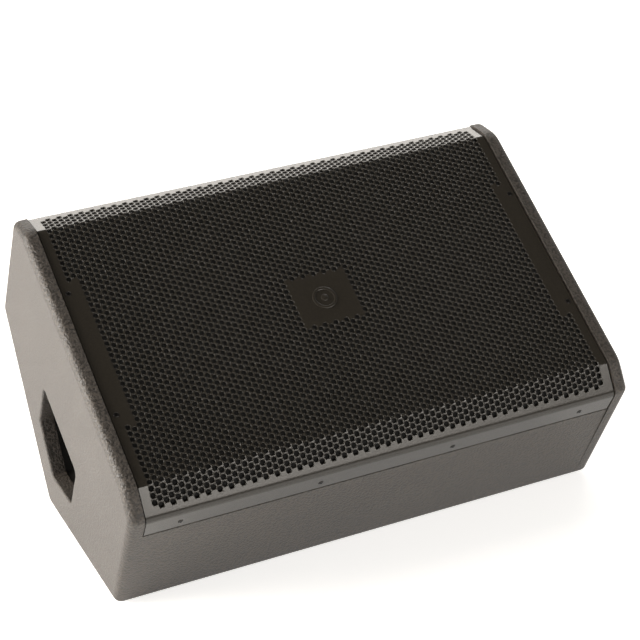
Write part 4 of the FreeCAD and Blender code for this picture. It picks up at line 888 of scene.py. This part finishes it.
@dataclass
class Fasteners:
    """The small screws that hold the grille."""

    seat: Seat
    repeats: Repeats
    radius: float = 3.6
    height: float = 0.8
    key: float = 1.5
    lip_depth: float = 20 * MM

    @staticmethod
    def head(name: str, radius: float, height: float, key: float, sides: int = 6) -> bpy.types.Object:
        """A domed screw head with a sunk drive.

        Args:
            name: Name of the template.
            radius: Radius of the head in millimetres.
            height: Height of the head.
            key: Radius of the drive recess.
            sides: Lobes of the recess.

        Returns:
            The template, standing on z = 0.
        """
        around = 6 * sides
        verts: list[tuple] = []
        loops: list[list[int]] = []

        def loop(reach: float, level: float, lobed: bool = False) -> None:
            """Add one ring of points, lobed like the drive where asked."""
            loops.append(list(range(len(verts), len(verts) + around)))
            for i in range(around):
                angle = 2 * math.pi * i / around
                wave = 1 + 0.13 * math.cos(sides * angle) if lobed else 1.0
                far = reach * wave * MM
                verts.append((far * math.cos(angle), far * math.sin(angle), level * MM))

        loop(radius * 0.5, -0.5)
        loop(radius, -0.5)
        loop(radius, height * 0.25)
        loop(radius * 0.93, height * 0.6)
        loop(radius * 0.76, height * 0.88)
        loop(key * 1.25, height)
        loop(key, height * 0.99, True)
        loop(key * 0.92, height * 0.3, True)
        loop(key * 0.3, height * 0.2)
        faces = []
        for low, high in zip(loops, loops[1:]):
            for i in range(around):
                faces.append((low[i], low[(i + 1) % around], high[(i + 1) % around], high[i]))
        faces.append(tuple(loops[0][::-1]))
        faces.append(tuple(loops[-1]))
        piece = mesh_object(name, verts, faces)
        piece.data.shade_smooth()
        piece.data.set_sharp_from_angle(angle=math.radians(38))
        return piece

    def build(self) -> None:
        """Set the grille's screws on its field and lips."""
        turn = self.seat.matrix.to_3x3()
        out, up = turn @ Vector((0, 0, 1)), turn @ Vector((0, 1, 0))
        back = self.seat.matrix.inverted()
        spots = []
        points = self.seat.local_points("grille")
        reach = max(p.y for p in points)
        for low, high in islands("grille_screws"):
            middle = back @ ((low + high) / 2)
            if middle.z > -self.lip_depth:
                spots.append((self.seat.matrix @ Vector((middle.x, middle.y, 0.0)), out))
            else:
                side = math.copysign(1.0, middle.y)
                spots.append((self.seat.matrix @ Vector((middle.x, side * reach, middle.z)), up * side))
        head = self.head("grille_screw_head", self.radius, self.height, self.key)
        self.repeats.build("grille_screw_heads", head, spots, BLACK_SCREW, "black_zinc", ("grille_screws",))


@dataclass
class Feet:
    """Ribbed rubber feet on both lower faces."""

    seat: Seat
    repeats: Repeats
    radius: float = 14.0
    height: float = 3.0

    def template(self) -> bpy.types.Object:
        """One foot with a rounded rim, two grooves and a counterbore, standing on z = 0."""
        r, h = self.radius, self.height
        profile = [(2.1, 0.0), (r, 0.0), (r - 0.2, 1.2), (r - 0.6, 2.2), (r - 1.3, 2.8), (r - 2.2, h),
                   (10.4, h), (10.1, h - 0.7), (9.3, h - 0.7), (9.0, h), (7.0, h), (6.7, h - 0.7), (5.9, h - 0.7),
                   (5.6, h), (4.6, h), (4.4, h - 0.3), (4.4, 1.1), (2.1, 1.1)]
        return turned("foot_template", profile, Matrix(), 60)

    def build(self) -> None:
        """Set four feet on each face."""
        for node, axis in (("floor_feet", Vector((0, 0, -1))), ("rear_feet", self.rear_normal())):
            spots = []
            for low, high in islands(node):
                middle = (low + high) / 2
                spots.append((middle - axis * (self.height / 2 * MM), axis))
            self.repeats.build(node + "_ribbed", self.template(), spots, RUBBER, "rubber", (node,))

    @staticmethod
    def rear_normal() -> Vector:
        """Outward normal of the rear lower face, from its mount."""
        mount = next(m for m in frame["record"]["mounts"] if m["name"] == "rear_rest")
        return Vector(mount["axis"]).normalized()


@dataclass
class SoftPieces:
    """Foam behind the grille, wadding in the box, and the woofer's cloth pieces."""

    seat: Seat
    roll_rise: float = 3.8
    cloth_half: float = 0.5

    def build(self) -> None:
        self.foam()
        self.wadding()
        self.speaker()

    @staticmethod
    def soft_copy(node: str, name: str, swell: float, cell: float) -> bpy.types.Object:
        """A rounded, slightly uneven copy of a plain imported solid.

        Args:
            node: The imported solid.
            name: Name of the new piece.
            swell: How far its surface dips at most, in metres.
            cell: Size of the remeshing voxel, in metres.

        Returns:
            The new object.
        """
        piece = bpy.data.objects.new(name, frame["nodes"][node].data.copy())
        bpy.context.scene.collection.objects.link(piece)
        remesh = piece.modifiers.new("remesh", "REMESH")
        remesh.mode = "VOXEL"
        remesh.voxel_size = cell
        ready = piece.evaluated_get(bpy.context.evaluated_depsgraph_get())
        mesh = bpy.data.meshes.new_from_object(ready)
        piece.modifiers.clear()
        piece.data = mesh
        for vertex in mesh.vertices:
            spot = vertex.co / WANDER
            wander = math.sin(3.1 * spot.x + 1.7 * spot.z) * math.sin(2.3 * spot.y + 0.9 * spot.x)
            vertex.co -= vertex.normal * swell * (0.5 + 0.5 * wander)
        mesh.shade_smooth()
        return piece

    def foam(self, cell: float = 7.0 * MM, edge: float = 0.8 * MM) -> None:
        """Thin foam sheet, glued behind the perforations, a little uneven and rounded at its rim.

        Args:
            cell: Size of its facets.
            edge: How far the rim is rounded.
        """
        points = self.seat.local_points("grille_foam")
        half_width = max(p.x for p in points)
        corners = sorted({(round(p.y, 6), round(p.z, 6)) for p in points})
        columns = [corners[i:i + 2] for i in range(0, len(corners), 2)]
        chain = []
        for (y0, low0), (_, high0), (y1, low1), (_, high1) in ((*a, *b) for a, b in zip(columns, columns[1:])):
            steps = max(1, round((y1 - y0) / cell))
            chain += [(y0 + (y1 - y0) * i / steps, low0 + (low1 - low0) * i / steps,
                       high0 + (high1 - high0) * i / steps) for i in range(steps)]
        chain.append((columns[-1][0][0], columns[-1][0][1], columns[-1][1][1]))
        across = round(2 * half_width / cell)
        verts, faces = [], []
        for y, low, high in chain:
            for i in range(across + 1):
                x = half_width * (2 * i / across - 1)
                rim = edge if i in (0, across) or y in (chain[0][0], chain[-1][0]) else 0.0
                dip = rim + 0.35 * MM * (1 + math.sin(x / (11 * MM)) * math.sin(y / (9 * MM) + x / (37 * MM)))
                verts += [(x, y, low + rim), (x, y, high - dip)]
        width = 2 * (across + 1)
        for row in range(len(chain) - 1):
            for i in range(across):
                a = row * width + 2 * i
                faces += [(a, a + width, a + width + 2, a + 2), (a + 1, a + 3, a + width + 3, a + width + 1)]
            a, b = row * width, (row + 1) * width
            faces += [(a, a + 1, b + 1, b), (a + width - 2, b + width - 2, b + width - 1, a + width - 1)]
        last = (len(chain) - 1) * width
        for i in range(across):
            a = 2 * i
            faces += [(a, a + 2, a + 3, a + 1), (last + a, last + a + 1, last + a + 3, last + a + 2)]
        sheet = mesh_object("grille_foam_sheet", verts, faces)
        sheet.data.transform(self.seat.matrix)
        sheet.data.shade_smooth()
        finish_piece(sheet, FOAM, replaces=("grille_foam",))

    def wadding(self) -> None:
        """Lofty wadding on the inside of the rear panel."""
        pad = self.soft_copy("damping_wadding", "damping_wadding_pad", 4.0 * MM, 5.0 * MM)
        finish_piece(pad, WADDING, replaces=("damping_wadding",))

    def speaker(self) -> None:
        """Rolled surround and corrugated spider, in place of their plain solids.

        The spider's waves grow from nothing over its neck, so that they clear the moving cone.
        """
        for node, name, waves, swing, neck in (("woofer_surround", "surround_rolls", 3, 3.0, 0.0),
                                               ("woofer_spider", "spider_corrugated", 6, 1.6, 8.0)):
            points = self.seat.local_points(node)
            centre = Vector([(min(p[i] for p in points) + max(p[i] for p in points)) / 2 for i in range(3)])
            reaches = [math.hypot(p.x - centre.x, p.y - centre.y) / MM for p in points]
            inner, outer = min(reaches), max(reaches)
            steps = 12 * waves
            low, high = min(p.z for p in points) / MM, max(p.z for p in points) / MM
            level = (low + high) / 2 if neck else low + self.roll_rise
            top = []
            for i in range(steps + 1):
                radius = inner + (outer - inner) * i / steps
                grown = min(1.0, (radius - inner) / neck) if neck else 1.0
                top.append((radius, grown * swing * math.sin(2 * math.pi * waves * i / steps)))
            half = self.cloth_half
            profile = [(r, z - half) for r, z in top] + [(r, z + half) for r, z in top[::-1]]
            place = self.seat.matrix @ Matrix.Translation((centre.x, centre.y, level * MM))
            piece = turned(name, profile, place, 96)
            finish_piece(piece, CLOTH, replaces=(node,))


# ---------------------------------------------------------------- studio

@dataclass
class Studio:
    """Pale sweep, soft light and the camera."""

    azimuth: float = 23.08
    elevation: float = 26.27
    roll: float = -2.98
    distance: float = 2.68
    target: tuple[float, float, float] = (0.0249, 0.0116, 0.2460)
    lens: float = 111.1
    floor_half: float = 9.0
    floor_glow: float = 0.62
    bright_side: tuple[float, float, float] = (-0.6, 0.8, 0.0)
    dim: float = 0.12
    lamp_colour: str = "#fff9f1"
    bright: float = 1.0
    panels: tuple = (("left_panel", (-3.4, 0.8, 1.4), (2.2, 2.6), 290.0),
                     ("back_panel", (1.8, 4.2, 2.6), (5.0, 2.0), 130.0),
                     ("front_strip", (1.25, -3.0, 1.78), (2.6, 0.62), 50.0))

    def camera(self) -> None:
        """Look at the box from its front left, a little from above."""
        turn, lift = math.radians(self.azimuth), math.radians(self.elevation)
        forward = Vector((math.sin(turn) * math.cos(lift), math.cos(turn) * math.cos(lift), -math.sin(lift)))
        level = Vector((math.cos(turn), -math.sin(turn), 0.0))
        above = level.cross(forward)
        tip = math.radians(self.roll)
        right = level * math.cos(tip) + above * math.sin(tip)
        up = right.cross(forward)
        data = bpy.data.cameras.new("camera")
        data.lens = self.lens
        data.sensor_width = 36.0
        data.clip_end = 100.0
        eye = bpy.data.objects.new("camera", data)
        place = Vector(self.target) - forward * self.distance
        axes = Matrix((right, up, -forward)).transposed().to_4x4()
        eye.matrix_world = Matrix.Translation(place) @ axes
        bpy.context.scene.collection.objects.link(eye)
        bpy.context.scene.camera = eye

    def floor(self) -> None:
        """Wide white floor that glows a little, so that its shadows stay soft."""
        made = bpy.data.materials.new("white_sweep")
        made.use_nodes = True
        tree = made.node_tree
        tree.nodes.clear()
        shader = add_node(tree, "ShaderNodeBsdfPrincipled", {
            "Base Color": linear("#f4f3f1"), "Roughness": 0.8, "Emission Color": linear("#ffffff"),
            "Emission Strength": self.floor_glow})
        add_node(tree, "ShaderNodeOutputMaterial", {"Surface": (shader, "BSDF")})
        reach = self.floor_half
        low = CAD_BOX[0][2]
        floor = mesh_object("floor", [(-reach, -reach, low), (reach, -reach, low), (reach, reach, low),
                                      (-reach, reach, low)], [(0, 1, 2, 3)])
        floor.data.materials.append(made)

    def sky(self) -> None:
        """Bright low walls behind and on the left, darker in front, and a dark ceiling."""
        world = bpy.data.worlds.new("studio")
        bpy.context.scene.world = world
        world.use_nodes = True
        tree = world.node_tree
        tree.nodes.clear()
        place = add_node(tree, "ShaderNodeTexCoord")
        parts = add_node(tree, "ShaderNodeSeparateXYZ", {"Vector": (place, "Generated")})
        fall = add_node(tree, "ShaderNodeMapRange", {
            "Value": (parts, "Z"), "From Min": 0.50, "From Max": 0.85, "To Min": 1.0, "To Max": 0.10},
            interpolation_type="SMOOTHSTEP")
        toward = add_node(tree, "ShaderNodeVectorMath", {0: (place, "Generated"), 1: self.bright_side},
                          operation="DOT_PRODUCT")
        side = add_node(tree, "ShaderNodeMapRange", {
            "Value": (toward, "Value"), "From Min": -0.9, "From Max": 0.6,
            "To Min": self.dim, "To Max": self.bright})
        level = add_node(tree, "ShaderNodeMath", {0: (fall, "Result"), 1: (side, "Result")},
                         operation="MULTIPLY")
        shade = add_node(tree, "ShaderNodeBackground", {"Color": linear("#fffdf9"), "Strength": (level, 0)})
        add_node(tree, "ShaderNodeOutputWorld", {"Surface": (shade, "Background")})

    def lamps(self) -> None:
        """Soft panels: a large one on the left, one at the back and a low strip in front."""
        for name, place, size, power in self.panels:
            data = bpy.data.lights.new(name, "AREA")
            data.shape = "RECTANGLE"
            data.size, data.size_y = size
            data.energy = power
            data.color = linear(self.lamp_colour)[:3]
            lamp = bpy.data.objects.new(name, data)
            aim = Vector(self.target) - Vector(place)
            lamp.matrix_world = Matrix.Translation(place) @ aim.to_track_quat("-Z", "Y").to_matrix().to_4x4()
            bpy.context.scene.collection.objects.link(lamp)

    def build(self) -> None:
        """Set the camera, the floor and the light."""
        self.camera()
        self.floor()
        self.sky()
        self.lamps()
        bpy.context.scene.view_settings.view_transform = "Standard"


def dress_packed_nodes() -> None:
    """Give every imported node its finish."""
    for finish, names in NODE_FINISHES.items():
        for name in names:
            node = frame["nodes"][name]
            node.data.materials.clear()
            node.data.materials.append(finish.material())
    dressed = {name for names in NODE_FINISHES.values() for name in names}
    for name in sorted(set(frame["nodes"]) - dressed):
        LOG.warning("%s has no finish", name)


def main() -> None:
    """Build the studio and every piece."""
    logging.basicConfig(level=logging.INFO, format="%(name)s: %(message)s")
    seat = Seat.from_frame()
    repeats = Repeats()
    Studio().build()
    dress_packed_nodes()
    Grille(seat).build()
    Fasteners(seat, repeats).build()
    Feet(seat, repeats).build()
    SoftPieces(seat).build()


if __name__ == "__main__":
    main()
